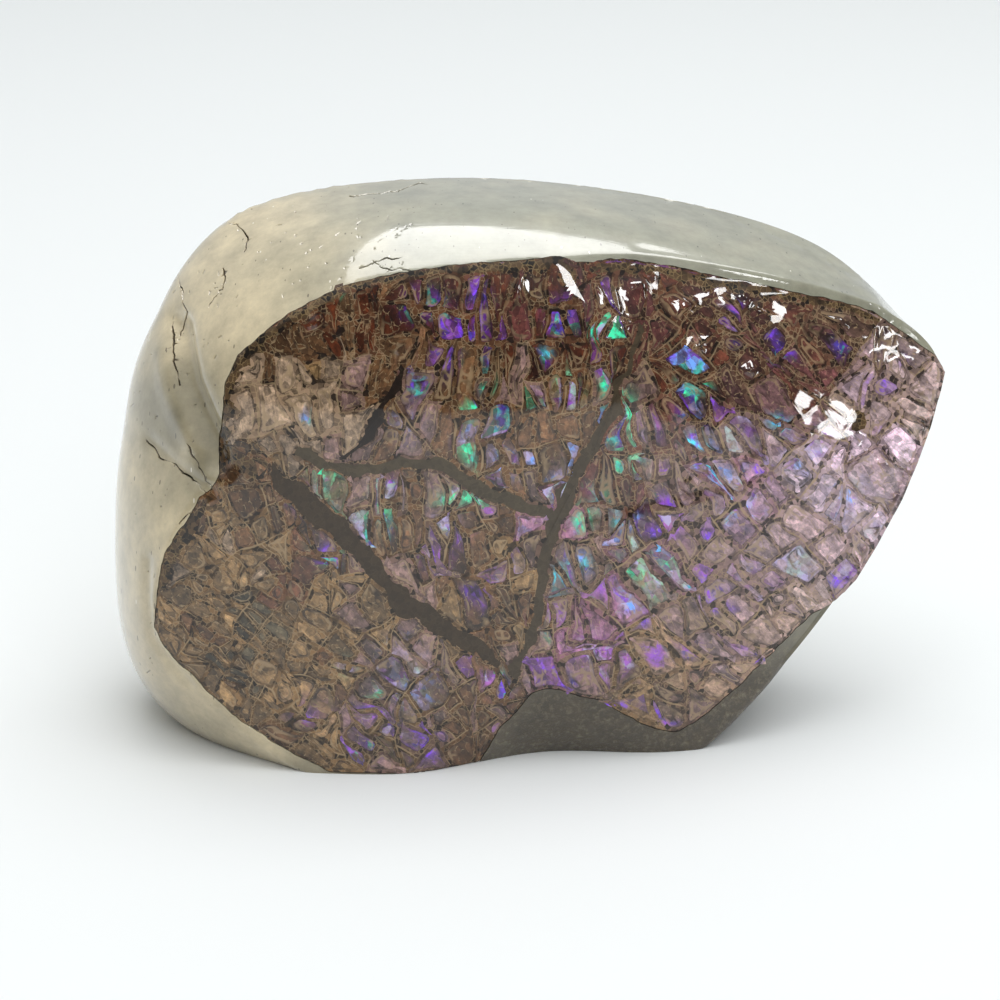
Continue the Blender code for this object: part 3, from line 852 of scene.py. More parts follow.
@dataclass
class Ironstone:
    """The block of polished ironstone, with the recess that holds the shell and its natural cracks.

    Attributes:
        form: The block's form.
        recess: Outline of the shell in the photograph.
        depth: Depth of the recess in millimetres.
        clearance: Gap around the shell in pixels.
        cracks: Cracks in the stone.
        piece: The finished piece.
    """

    form: FreeForm
    recess: list[Pixel]
    depth: float = 1.9
    clearance: float = 0.8
    cracks: tuple[Crack, ...] = STONE_CRACKS
    piece: Optional[bpy.types.Object] = None

    def build(self) -> None:
        """Cuts the form off at the base, then cuts the recess and the cracks."""
        shape = bmesh.new()
        shape.from_mesh(self.form.mesh)
        geometry = shape.verts[:] + shape.edges[:] + shape.faces[:]
        cut = bmesh.ops.bisect_plane(shape, geom=geometry, plane_co=(0, 0, 0), plane_no=(0, 0, 1),
                                     clear_inner=True)["geom_cut"]
        rim = [e for e in cut if isinstance(e, bmesh.types.BMEdge)]
        bmesh.ops.contextual_create(shape, geom=rim)
        bmesh.ops.triangulate(shape, faces=shape.faces)
        bmesh.ops.recalc_face_normals(shape, faces=shape.faces)
        item = placed("ironstone_block", stored(shape, "ironstone_block"))
        tool = placed("recess", self.recess_cutter())
        cut = item.modifiers.new("recess", "BOOLEAN")
        cut.operation, cut.solver, cut.object = "DIFFERENCE", "MANIFOLD", tool
        mesh = baked(item)
        bpy.data.objects.remove(tool)
        shape = bmesh.new()
        shape.from_mesh(mesh)
        bmesh.ops.triangulate(shape, faces=shape.faces)
        self.piece = placed("ironstone_block", self.score(shape))
        self.piece.data.shade_smooth()
        self.piece.data.set_sharp_from_angle(angle=math.radians(35))

    def recess_cutter(self) -> bpy.types.Mesh:
        """Returns a solid that runs from in front of the face to the recess's floor."""
        loop = offset(self.recess, [-self.clearance] * len(self.recess), True)
        return inlay(self.form, loop, 3.0, self.depth, "recess")

    def score(self, shape: bmesh.types.BMesh) -> bpy.types.Mesh:
        """Works the cracks and pits into the polished skin, after refining it around them.

        Args:
            shape: The form, in triangles, which is freed.

        Returns:
            The scored mesh.
        """
        marks = []
        for crack in self.cracks:
            for a, b in self.strokes(crack):
                share = max(0.15, 0.55 + 1.1 * wobble(a, 11, 8.5))
                marks.append((a, b, crack.width * PX_PER_MM * 0.35 * share, crack.depth * min(1.0, share)))
        marks += self.pits()
        near: dict[tuple[int, int], list] = {}
        for mark in marks:
            (u0, v0), (u1, v1), reach, _ = mark
            grow = reach + 3
            for i in range(int((min(u0, u1) - grow) / BIN_PX), int((max(u0, u1) + grow) / BIN_PX) + 1):
                for j in range(int((min(v0, v1) - grow) / BIN_PX), int((max(v0, v1) + grow) / BIN_PX) + 1):
                    near.setdefault((i, j), []).append(mark)
        view, eye = self.form.view, Vector(self.form.view.eye) * MM

        def found(point: Vector, slack: float) -> list:
            at = view.pixel(point)
            here = near.get((int(at[0] / BIN_PX), int(at[1] / BIN_PX)), ())
            return [(distance_to(at, a, b), reach, depth) for a, b, reach, depth in here
                    if distance_to(at, a, b) < reach + slack]

        for longest in REFINED:
            edges = [e for e in shape.edges if e.calc_length() > longest * MM
                     and (eye - e.verts[0].co).dot(e.verts[0].normal) > 0
                     and found((e.verts[0].co + e.verts[1].co) / 2, 2.5 * longest + 0.6)]
            bmesh.ops.subdivide_edges(shape, edges=edges, cuts=1)
            bmesh.ops.triangulate(shape, faces=[f for f in shape.faces if len(f.verts) > 3])
        mesh = ordered(stored(shape, "ironstone_block"))
        shape = bmesh.new()
        shape.from_mesh(mesh)
        shape.normal_update()
        # How deep each mark is, for the painted shade in pits and cracks
        hollow_shade = shape.verts.layers.float.new("hollow_shade")
        flute = shape.verts.layers.float.new("flute")
        for vert in shape.verts:
            if vert.co.x < -0.03:
                at = view.pixel(vert.co)
                away = min(distance_to(at, a, b) for a, b in zip(FLUTE_LINE, FLUTE_LINE[1:]))
                vert[flute] = math.exp(-(away / FLUTE_REACH) ** 2) * clamp((0.02 - vert.co.y) / 0.02)
            if (eye - vert.co).dot(vert.normal) <= 0:
                continue
            hollows = [(1 - away / (reach + 0.35)) * depth for away, reach, depth in found(vert.co, 0.35)]
            sunk = max(hollows, default=0)
            if sunk > 0:
                vert[hollow_shade] = min(1.0, sunk / 0.18)
                vert.co -= vert.normal * (sunk * MM)
        return stored(shape, "ironstone_block")

    def strokes(self, crack: Crack) -> list[tuple[Pixel, Pixel]]:
        """Returns a crack's line in short uneven strokes."""
        seed = crack.path[0][0]
        line = [(u + 4.5 * wobble((u, v), 17, seed) + 2.2 * wobble((u, v), 5, seed),
                 v + 4.5 * wobble((v, u), 17, seed) + 2.2 * wobble((v, u), 5, seed))
                for u, v in dense(list(crack.path), 3, False)]
        return list(zip(line, line[1:]))

    def pits(self) -> list[tuple[Pixel, Pixel, float, float]]:
        """Returns the small pits that the polish has left in the tan stone."""
        rng = random.Random(31)
        pits = []
        for (u0, v0, u1, v1), count in PITTED:
            for _ in range(count):
                u, v = rng.uniform(u0, u1), rng.uniform(v0, v1)
                angle, length = rng.gauss(2.2, 0.6), rng.choice((0.3, 0.8, 1.5, 3.5))
                end = (u + length * math.cos(angle), v + length * math.sin(angle))
                pits.append(((u, v), end, rng.uniform(0.25, 0.8), rng.uniform(0.05, 0.14)))
        return pits

    def dress(self, finish: bpy.types.Material) -> None:
        """Gives the stone its finish."""
        self.piece.data.materials.append(finish)


def inlay_face(shape: bmesh.types.BMesh, form: FreeForm, loop: list[Pixel], lift: float) -> list:
    """Adds a surface that follows the form inside a loop.

    Args:
        shape: Takes the surface.
        form: The form.
        loop: Outline in the photograph.
        lift: How far it lies in front of the form, in millimetres.

    Returns:
        Its faces.
    """
    flat = bmesh.new()
    flat.faces.new([flat.verts.new((u, v, 0)) for u, v in loop])
    # Cuts every 20 pixels, so that the surface bends with the form
    for normal, first, last in (((1, 0, 0), 160, 940), ((0, 1, 0), 260, 780)):
        for at in range(first, last, 20):
            bmesh.ops.bisect_plane(flat, geom=flat.verts[:] + flat.edges[:] + flat.faces[:],
                                   plane_co=(at, at, 0), plane_no=normal)
    bmesh.ops.triangulate(flat, faces=flat.faces)
    surface = Surface(form)
    for vert in flat.verts:
        vert.co = surface.at((vert.co.x, vert.co.y))[0] - Vector((0, lift * MM, 0))
    known = set(shape.faces)
    mesh = stored(flat, "inlay")
    shape.from_mesh(mesh)
    bpy.data.meshes.remove(mesh)
    return [f for f in shape.faces if f not in known]


def inlay(form: FreeForm, loop: list[Pixel], front: float, depth: float, name: str) -> bpy.types.Mesh:
    """Makes a solid that follows the form's surface inside a loop.

    Args:
        form: The form.
        loop: Outline in the photograph.
        front: How far it reaches in front of the surface, in millimetres.
        depth: How far it reaches behind the surface.
        name: Name of the mesh.

    Returns:
        The closed mesh.
    """
    shape = bmesh.new()
    top = inlay_face(shape, form, loop, front)
    raised = bmesh.ops.extrude_face_region(shape, geom=top, use_keep_orig=True)["geom"]
    for vert in raised:
        if isinstance(vert, bmesh.types.BMVert):
            vert.co.y += (front + depth) * MM
    bmesh.ops.recalc_face_normals(shape, faces=shape.faces)
    return stored(shape, name)


class Surface:
    """The form's front under any pixel, carried on flat past its edge."""

    def __init__(self, form: FreeForm, middle: Pixel = (560, 500), front: float = -0.45) -> None:
        """Keeps the form and what counts as its front.

        Args:
            form: The form.
            middle: A place well inside the front.
            front: Largest y of a normal that still belongs to the front.
        """
        self.form, self.middle, self.front = form, middle, front

    def at(self, at: Pixel) -> tuple[Vector, Vector]:
        """Finds the surface at a place.

        Args:
            at: The pixel.

        Returns:
            The place on the surface and the normal.
        """
        away = max(1.0, math.dist(at, self.middle))
        for step in range(80):
            share = step / away
            nearer = [a + (m - a) * share for a, m in zip(at, self.middle)]
            hit = self.form.hit(nearer)
            if hit and hit[1].y < self.front:
                break
        if not step:
            return hit
        eye, ray = Vector(self.form.view.eye) * MM, self.form.view.ray(at)
        return eye + ray * ((hit[0].y - eye.y) / ray.y), hit[1]


# The shell


class Kind(Enum):
    """What one face of the shell is.

    The first four are also the numbers of the materials. Borders and hairlines have the plates' material.
    """

    PLATE = 0
    RUBBLE = 1
    CRUST = 2
    VEIN = 3
    BORDER = 4
    HAIRLINE = 5


@dataclass
class ShellSheet:
    """The sheet of cracked shell, cut in the photograph's frame and then laid on the form.

    Attributes:
        form: The block's form.
        outline: The sheet's outline in the photograph.
        thickness: Its thickness in millimetres.
        seed: Seed of the random cracks and colours.
        gaps: Half widths in pixels of the gaps between plates.
        widest_border: Widest dark border of a plate, in pixels.
        facet_length: Least and most length of the facets, in pixels.
        facet_width: Least and most width of the facets.
        piece: The finished piece.
    """

    form: FreeForm
    outline: list[Pixel]
    thickness: float = 1.8
    seed: int = 20
    gaps: tuple[float, ...] = (2.0, 3.0, 4.2, 5.6)
    widest_border: float = 5.0
    facet_length: tuple[float, float] = (13, 24)
    facet_width: tuple[float, float] = (10, 18)
    piece: Optional[bpy.types.Object] = None

    def build(self) -> None:
        """Cracks the sheet into plates, plates into facets, and lays them on the form."""
        self.rng = random.Random(self.seed)
        self.vein_loops = [self.ribbon(vein, n, VEIN_ROUGHNESS[n]) for n, vein in enumerate(VEINS)]
        self.crust_loops = [self.ribbon(band, 7 + n, CRUST_ROUGHNESS) for n, band in enumerate(CRUST)]
        shape = self.arrangement()
        self.kind = shape.faces.layers.int.new("kind")
        self.tint = shape.faces.layers.float_vector.new("tint")
        self.flash = shape.faces.layers.float_vector.new("flash")
        self.flash_two = shape.faces.layers.float_vector.new("flash_two")
        self.glow = shape.faces.layers.float.new("glow")
        self.gleam = shape.faces.layers.float.new("gleam")
        self.lean = shape.faces.layers.float.new("lean")
        self.core = shape.verts.layers.float.new("core")
        self.classify(shape)
        self.crack_plates(shape)
        self.colour_plates(shape)
        self.part_plates(shape)
        self.crack_facets(shape)
        self.roughen(shape)
        self.lay(shape)

    def ribbon(self, path: list[tuple[float, float, float]], number: int, rough: float) -> list[Pixel]:
        """Makes the uneven outline of a vein.

        Args:
            path: Places of its middle line and its half widths, in pixels.
            number: Number of the vein.
            rough: How uneven its edges are.

        Returns:
            The closed outline.
        """
        line = dense([(u, v) for u, v, _ in path], 4, False)
        widths = []
        for at in line:
            near = min(range(len(path) - 1), key=lambda k: distance_to(at, path[k][:2], path[k + 1][:2]))
            (u0, v0, w0), (u1, v1, w1) = path[near], path[near + 1]
            share = math.dist(at, (u0, v0)) / (math.dist((u0, v0), (u1, v1)) or 1)
            widths.append(w0 + (w1 - w0) * min(1.0, share))
        sides = []
        for sign in (1, -1):
            reach = []
            for width, at in zip(widths, line):
                uneven = wobble(at, 13, number + sign * 20) + 0.8 * wobble(at, 5, number + sign)
                reach.append(sign * (width * max(0.2, 1 + rough * uneven)))
            sides.append(offset(line, reach, False))
        left, right = sides
        return left + right[::-1]

    def arrangement(self) -> bmesh.types.BMesh:
        """Cuts the outline by every vein, band of crust and main crack.

        Returns:
            A flat bmesh in pixels with one face for each cell.
        """
        points, edges = [], []

        def line(path: list[Pixel], closed: bool) -> None:
            first = len(points)
            points.extend(Vector(p) for p in path)
            count = len(path)
            edges.extend((first + k, first + (k + 1) % count) for k in range(count if closed else count - 1))

        line(self.outline, True)
        for loop in self.vein_loops + self.crust_loops:
            line(loop, True)
        for path in MAIN_CRACKS:
            line(dense(path, 12, False), False)
        verts, _, faces, *_ = delaunay_2d_cdt(points, edges, [list(range(len(self.outline)))], 4, 0.05)
        shape = bmesh.new()
        made = [shape.verts.new((p.x, p.y, 0)) for p in verts]
        for face in faces:
            new = shape.faces.new([made[k] for k in face])
            if not inside(interior(new), self.outline):
                bmesh.ops.delete(shape, geom=[new], context="FACES_ONLY")
        loose = [v for v in shape.verts if not v.link_faces]
        bmesh.ops.delete(shape, geom=loose, context="VERTS")
        shape.normal_update()
        down = [f for f in shape.faces if f.normal.z < 0]
        bmesh.ops.reverse_faces(shape, faces=down)
        return shape

    def classify(self, shape: bmesh.types.BMesh) -> None:
        """Notes for each cell what it is, and the tone of a vein."""
        for face in shape.faces:
            at = interior(face)
            veins = [n for n, loop in enumerate(self.vein_loops) if inside(at, loop)]
            if veins:
                face[self.kind] = Kind.VEIN.value
                face[self.tint] = Vector(linear(VEIN_TONES[veins[0]])[:3])
            elif any(inside(at, loop) for loop in self.crust_loops):
                face[self.kind] = Kind.CRUST.value

    def zone(self, at: Pixel) -> Zone:
        """Picks the region of a place, with uneven borders."""
        u, v = at[0] + self.rng.uniform(-14, 14), at[1] + self.rng.uniform(-14, 14)
        return min(ZONES, key=lambda z: (z.at[0] - u) ** 2 + (z.at[1] - v) ** 2)

    def crack_plates(self, shape: bmesh.types.BMesh) -> None:
        """Splits the cells until each is the size of its region's plates."""
        queue = [f for f in shape.faces if f[self.kind] == Kind.PLATE.value]
        while queue:
            face = queue.pop()
            at = interior(face)
            zone = min(ZONES, key=lambda z: math.dist(z.at, at))
            face[self.lean] = zone.lean
            angle = math.radians(zone.lean + self.rng.gauss(0, 7))
            limit = (zone.size[0] * self.rng.uniform(0.9, 1.7), zone.size[1] * self.rng.uniform(0.95, 1.7))
            queue += self.split(shape, face, angle, limit)

    def split(self, shape: bmesh.types.BMesh, face: bmesh.types.BMFace, angle: float,
              limit: tuple[float, float]) -> list[bmesh.types.BMFace]:
        """Splits a cell in two if it is longer or wider than a limit.

        Args:
            shape: The bmesh.
            face: The cell.
            angle: Direction of its length.
            limit: Length and width that it may have.

        Returns:
            The parts, or nothing where the cell stays whole.
        """
        along = Vector((math.cos(angle), math.sin(angle), 0))
        across = Vector((-along.y, along.x, 0))
        spans = []
        for axis in (along, across):
            values = [c.vert.co.dot(axis) for c in face.loops]
            spans.append((min(values), max(values)))
        lengths = [high - low for low, high in spans]
        over = [lengths[k] / limit[k] for k in (0, 1)]
        axis = 0 if over[0] > over[1] else 1
        if over[axis] < 1.25 or face.calc_area() < LEAST_AREA:
            return []
        low, high = spans[axis]
        share = self.rng.uniform(0.36, 0.64)
        normal = (along, across)[axis]
        return self.cut(shape, face, normal, low + (high - low) * share)

    def cut(self, shape: bmesh.types.BMesh, face: bmesh.types.BMFace, normal: Vector,
            level: float) -> list[bmesh.types.BMFace]:
        """Cuts a cell along a line.

        Args:
            shape: The bmesh.
            face: The cell.
            normal: Direction across the line.
            level: Distance of the line from the frame's corner.

        Returns:
            The two parts, or nothing where the line only grazes the cell.
        """
        along = Vector((-normal.y, normal.x, 0))
        loops = list(face.loops)
        heights = [loop.vert.co.dot(normal) - level for loop in loops]
        crossings = []
        for k, loop in enumerate(loops):
            here, there = heights[k], heights[(k + 1) % len(loops)]
            if (here > 0) != (there > 0):
                start, end = loop.vert, loops[(k + 1) % len(loops)].vert
                share = here / (here - there)
                crossings.append((start.co.lerp(end.co, share).dot(along), start, end, share))
        crossings.sort(key=lambda c: c[0])
        pairs = list(zip(crossings[::2], crossings[1::2]))
        if not pairs:
            return []
        ends = []
        for _, start, end, share in max(pairs, key=lambda p: p[1][0] - p[0][0]):
            if not 0.12 <= share <= 0.88:
                ends.append(start if share < 0.5 else end)
            else:
                edge = next(e for e in start.link_edges if e.other_vert(start) == end)
                ends.append(bmesh.utils.edge_split(edge, start, share)[1])
        if ends[0] == ends[1] or any(e.other_vert(ends[0]) == ends[1] for e in ends[0].link_edges):
            return []
        return [face, bmesh.utils.face_split(face, ends[0], ends[1])[0]]

    def colour_plates(self, shape: bmesh.types.BMesh) -> None:
        """Draws each plate's body colour and its flash."""
        for face in shape.faces:
            u, v = at = interior(face)
            zone = self.zone(at)
            if face[self.kind] == Kind.VEIN.value:
                continue
            tone = self.rng.choice(zone.tones[:1] * 2 + zone.tones)
            colour = rgb(tone) * self.rng.uniform(*PLATE_SHADES)
            # The right of the sheet is milky below its shoulder and at its upper right end; the paler tint is
            # partly painted reflection of the pale floor
            milk_and_reflection = clamp((u - 620) / 220) * clamp((v - 380) / 60, 0.12)
            milk_and_reflection = max(milk_and_reflection, 0.9 * clamp((u - 830) / 30) * clamp((v - 335) / 20))
            face[self.tint] = colour.lerp(rgb(LILAC), 0.5 * milk_and_reflection) * (1 + 0.45 * milk_and_reflection)
            face[self.gleam] = 1.0
            face[self.lean] = zone.lean
            lit = bool(zone.flashes) and self.rng.random() < zone.share
            flash = self.rng.choice(zone.flashes or (PALE,))
            self.light_up(face, flash, self.rng.uniform(*SCATTERED_FLASH) * lit)

    def light_up(self, face: bmesh.types.BMFace, flash: Flash, strength: float) -> None:
        """Gives a plate its flash, which drifts to a neighbouring colour.

        Args:
            face: The plate.
            flash: Its colour.
            strength: Share of the body colour that it hides.
        """
        face[self.flash] = rgb(flash)
        face[self.flash_two] = rgb(self.rng.choice(NEIGHBOURS[flash]))
        face[self.glow] = strength

    def inset(self, shape: bmesh.types.BMesh, widths: dict[float, list], kind: Kind) -> None:
        """Draws faces in from their edges.

        Args:
            shape: The bmesh.
            widths: How far in pixels, with the faces that are drawn in so far.
            kind: What the rings around them become.
        """
        for width, faces in sorted(widths.items()):
            for part in bmesh.ops.inset_individual(shape, faces=faces, thickness=width,
                                                   use_even_offset=False)["faces"]:
                part[self.kind] = kind.value

    def part_plates(self, shape: bmesh.types.BMesh) -> None:
        """Leaves crushed shell between the plates and gives each plate a border."""
        gaps: dict[float, list] = {}
        for face in shape.faces:
            if face[self.kind] == Kind.PLATE.value:
                gap = min(math.sqrt(face.calc_area()) * 0.15, self.rng.choice(self.gaps))
                gaps.setdefault(round(gap * 2.5) / 2.5, []).append(face)
        self.inset(shape, gaps, Kind.RUBBLE)
        plates = [f for f in shape.faces if f[self.kind] == Kind.PLATE.value]
        borders: dict[float, list] = {}
        for face in plates:
            border = round(min(self.widest_border, math.sqrt(face.calc_area()) * 0.14))
            if border:
                borders.setdefault(border, []).append(face)
        self.inset(shape, borders, Kind.BORDER)
        for vert in {v for f in plates for v in f.verts}:
            vert[self.core] = 1.0

    def crack_facets(self, shape: bmesh.types.BMesh) -> None:
        """Splits the plates by hairline cracks and gives each facet its own shade."""
        queue = [f for f in shape.faces if f[self.kind] == Kind.PLATE.value]
        facets = []
        while queue:
            face = queue.pop()
            look = [face[layer].copy() for layer in (self.tint, self.flash, self.flash_two)]
            look.append(face[self.glow])
            angle = math.radians(face[self.lean] + self.rng.gauss(0, 24))
            at = interior(face)
            fine = 0.62 if any(reached(at, spot) < 1.8 for spot in SPOTS) else 1.0
            limit = tuple(self.rng.uniform(*span) * fine for span in (self.facet_length, self.facet_width))
            parts = self.split(shape, face, angle, limit)
            for part in parts:
                part[self.tint], part[self.flash], part[self.flash_two], part[self.glow] = look
            queue += parts
            if not parts:
                facets.append(face)
        self.light_facets(facets + [f for f in shape.faces if f[self.kind] == Kind.BORDER.value])
        sizes: dict[float, list] = {}
        for face in facets:
            face[self.tint] = face[self.tint] * self.rng.uniform(*FACET_SHADES)
            face[self.gleam] = self.rng.uniform(*FACET_GLEAM)
            rim = min(0.7, math.sqrt(face.calc_area()) * 0.08)
            if self.rng.random() < 0.5:
                sizes.setdefault(round(rim * 5) / 5, []).append(face)
        self.inset(shape, sizes, Kind.HAIRLINE)

    def light_facets(self, facets: list[bmesh.types.BMFace]) -> None:
        """Gives the facets near each bright spot its colours.

        Args:
            facets: All facets.
        """
        for face in facets:
            at = interior(face)
            spot = min(SPOTS, key=lambda s: reached(at, s))
            away = reached(at, spot)
            if away < 4.0:
                self.light_up(face, spot[4], face[self.glow] if away > 1.5 else 0.0)

    def roughen(self, shape: bmesh.types.BMesh) -> None:
        """Makes straight cuts into natural cracks."""
        for _ in range(3):
            for edge in [e for e in shape.edges if e.calc_length() > LONGEST_EDGE]:
                bmesh.utils.edge_split(edge, edge.verts[0], 0.5)
        self.height = shape.verts.layers.float.new("height")
        for vert in shape.verts:
            kinds = {f[self.kind] for f in vert.link_faces}
            vert[self.height] = 1.0
            if kinds <= {Kind.RUBBLE.value} and not vert.is_boundary:
                vert[self.height] = 0.0
            elif Kind.HAIRLINE.value in kinds and Kind.PLATE.value not in kinds:
                vert[self.height] = 0.6
        self.round_off(shape)
        rim = KDTree(len(self.outline))
        for n, (u, v) in enumerate(self.outline):
            rim.insert((u, v, 0), n)
        rim.balance()
        shine = shape.verts.layers.float.new("shine")
        for vert in shape.verts:
            at = (vert.co.x, vert.co.y)
            vert[shine] = max(s[5] * math.exp(-0.9 * min(9.0, reached(at, s))) for s in SPOTS)
            if not vert.is_boundary:
                far = min(1.0, rim.find(vert.co)[2] / WANDER_FADE)
                for axis in (0, 1):
                    vert.co[axis] += far * sum(reach * wobble(at, grain, seed + 10 * axis)
                                               for reach, grain, seed in WANDER)

    def round_off(self, shape: bmesh.types.BMesh) -> None:
        """Rounds the plates' corners."""
        hard = {Kind.PLATE.value, Kind.BORDER.value}
        pairs = {}
        for vert in shape.verts:
            ends = [e.other_vert(vert) for e in vert.link_edges
                    if len(e.link_faces) == 2 and sum(f[self.kind] in hard for f in e.link_faces) == 1]
            if len(ends) == 2 and not vert.is_boundary:
                pairs[vert] = ends
        for _ in range(3):
            moved = {vert: vert.co * 0.5 + (a.co + b.co) * 0.25 for vert, (a, b) in pairs.items()}
            for vert, place in moved.items():
                vert.co = place

    def lay(self, shape: bmesh.types.BMesh) -> None:
        """Lays the flat sheet on the form, gives it its thickness and parts off the veins."""
        bmesh.ops.triangulate(shape, faces=shape.faces, ngon_method="EAR_CLIP")
        normal_layer = shape.verts.layers.float_vector.new("polish")
        flow = shape.loops.layers.uv.new("flow")
        for face in shape.faces:
            angle = math.radians(face[self.lean])
            c, s = math.cos(angle), math.sin(angle)
            for loop in face.loops:
                u, v = loop.vert.co.x / PX_PER_MM, loop.vert.co.y / PX_PER_MM
                loop[flow].uv = (u * c + v * s, v * c - u * s)
        surface = Surface(self.form)
        for vert in shape.verts:
            at = (vert.co.x, vert.co.y)
            place, normal = surface.at(at)
            lift, right, down = polish(at)
            lift += PROUD - (1 - vert[self.height]) * CRACK_DEPTH
            vert.co = place + normal * (lift * MM)
            vert[normal_layer] = (normal - Vector((right, 0, -down))).normalized()
        self.close(shape)
        self.piece = placed("ammolite_sheet", stored(shape, "ammolite_sheet"))

    def close(self, shape: bmesh.types.BMesh) -> None:
        """Gives the sheet a back that follows the floor of its recess.

        Args:
            shape: The laid sheet, open at the back.
        """
        rim = [e for e in shape.edges if e.is_boundary]
        back = inlay_face(shape, self.form, self.outline, -self.thickness)
        brown = rgb(UMBER)
        for face in back:
            face[self.kind] = Kind.RUBBLE.value
            face[self.tint] = brown
        edge = [e for e in {e for f in back for e in f.edges} if e.is_boundary]
        for face in bmesh.ops.bridge_loops(shape, edges=rim + edge)["faces"]:
            face[self.kind] = Kind.RUBBLE.value
            face[self.tint] = brown
        for vert in shape.verts:
            vert.co.z = max(vert.co.z, 0.05 * MM)
        for face in shape.faces:
            face.material_index = face[self.kind] if face[self.kind] <= Kind.VEIN.value else Kind.PLATE.value
        bmesh.ops.recalc_face_normals(shape, faces=shape.faces)

    def dress(self, finishes: list[bpy.types.Material]) -> None:
        """Gives plates, rubble, crust and veins their finishes."""
        for finish in finishes:
            self.piece.data.materials.append(finish)


def reached(at: Pixel, spot: Spot) -> float:
    """Returns how far a place is from a bright spot: under one is inside it."""
    return ((at[0] - spot[0]) / spot[2]) ** 2 + ((at[1] - spot[1]) / spot[3]) ** 2


def relief(at: Pixel) -> float:
    """Returns the height in millimetres of the unevenly polished shell at a place."""
    u, v = at
    uneven = clamp((u - 560) / 120) * clamp((470 - v) / 60)
    height = 0.034 * uneven * (wobble(at, 34, 50.5) + 0.9 * wobble(at, 12, 51.5))
    height += 0.006 * wobble(at, 40, 52.5)
    for bu, bv, reach, rise in GLINTS:
        away = math.hypot(u - bu, v - bv - reach * 0.7) / reach
        if away < 3:
            height += rise * math.exp(-away * away)
    return height


def polish(at: Pixel) -> tuple[float, float, float]:
    """Finds the relief of the polish and its slopes at a place.

    Args:
        at: The pixel.

    Returns:
        The height in millimetres and its slopes to the right and downwards.
    """
    u, v = at
    right = (relief((u + 1, v)) - relief((u - 1, v))) * PX_PER_MM / 2
    down = (relief((u, v + 1)) - relief((u, v - 1))) * PX_PER_MM / 2
    return relief(at), right, down


def level(line: list[Pixel], u: float) -> float:
    """Reads the height of a line that runs from left to right.

    Args:
        line: The line.
        u: The place across.

    Returns:
        Its height there, or nought to the left of it.
    """
    for (u0, v0), (u1, v1) in zip(line, line[1:]):
        if u0 <= u <= u1:
            return v0 + (v1 - v0) * (u - u0) / (u1 - u0)
    return 0.0


def distance_to(at: Pixel, start: Pixel, end: Pixel) -> float:
    """Returns the distance from a place to a line between two places.

    Args:
        at: The place.
        start: Start of the line.
        end: End of the line.

    Returns:
        The distance.
    """
    du, dv = end[0] - start[0], end[1] - start[1]
    share = ((at[0] - start[0]) * du + (at[1] - start[1]) * dv) / (du * du + dv * dv or 1)
    share = clamp(share)
    return math.hypot(at[0] - start[0] - du * share, at[1] - start[1] - dv * share)


def interior(face: bmesh.types.BMFace) -> Pixel:
    """Finds a place inside a flat face, also where the face is bent like a hook.

    Args:
        face: The face.

    Returns:
        The place.
    """
    loop = [(c.vert.co.x, c.vert.co.y) for c in face.loops]
    middle = (sum(p[0] for p in loop) / len(loop), sum(p[1] for p in loop) / len(loop))
    thirds = [((a[0] + b[0] + c[0]) / 3, (a[1] + b[1] + c[1]) / 3)
              for a, b, c in zip(loop[-1:] + loop[:-1], loop, loop[1:] + loop[:1])]
    return next((at for at in [middle] + thirds if inside(at, loop)), middle)


# Finishes


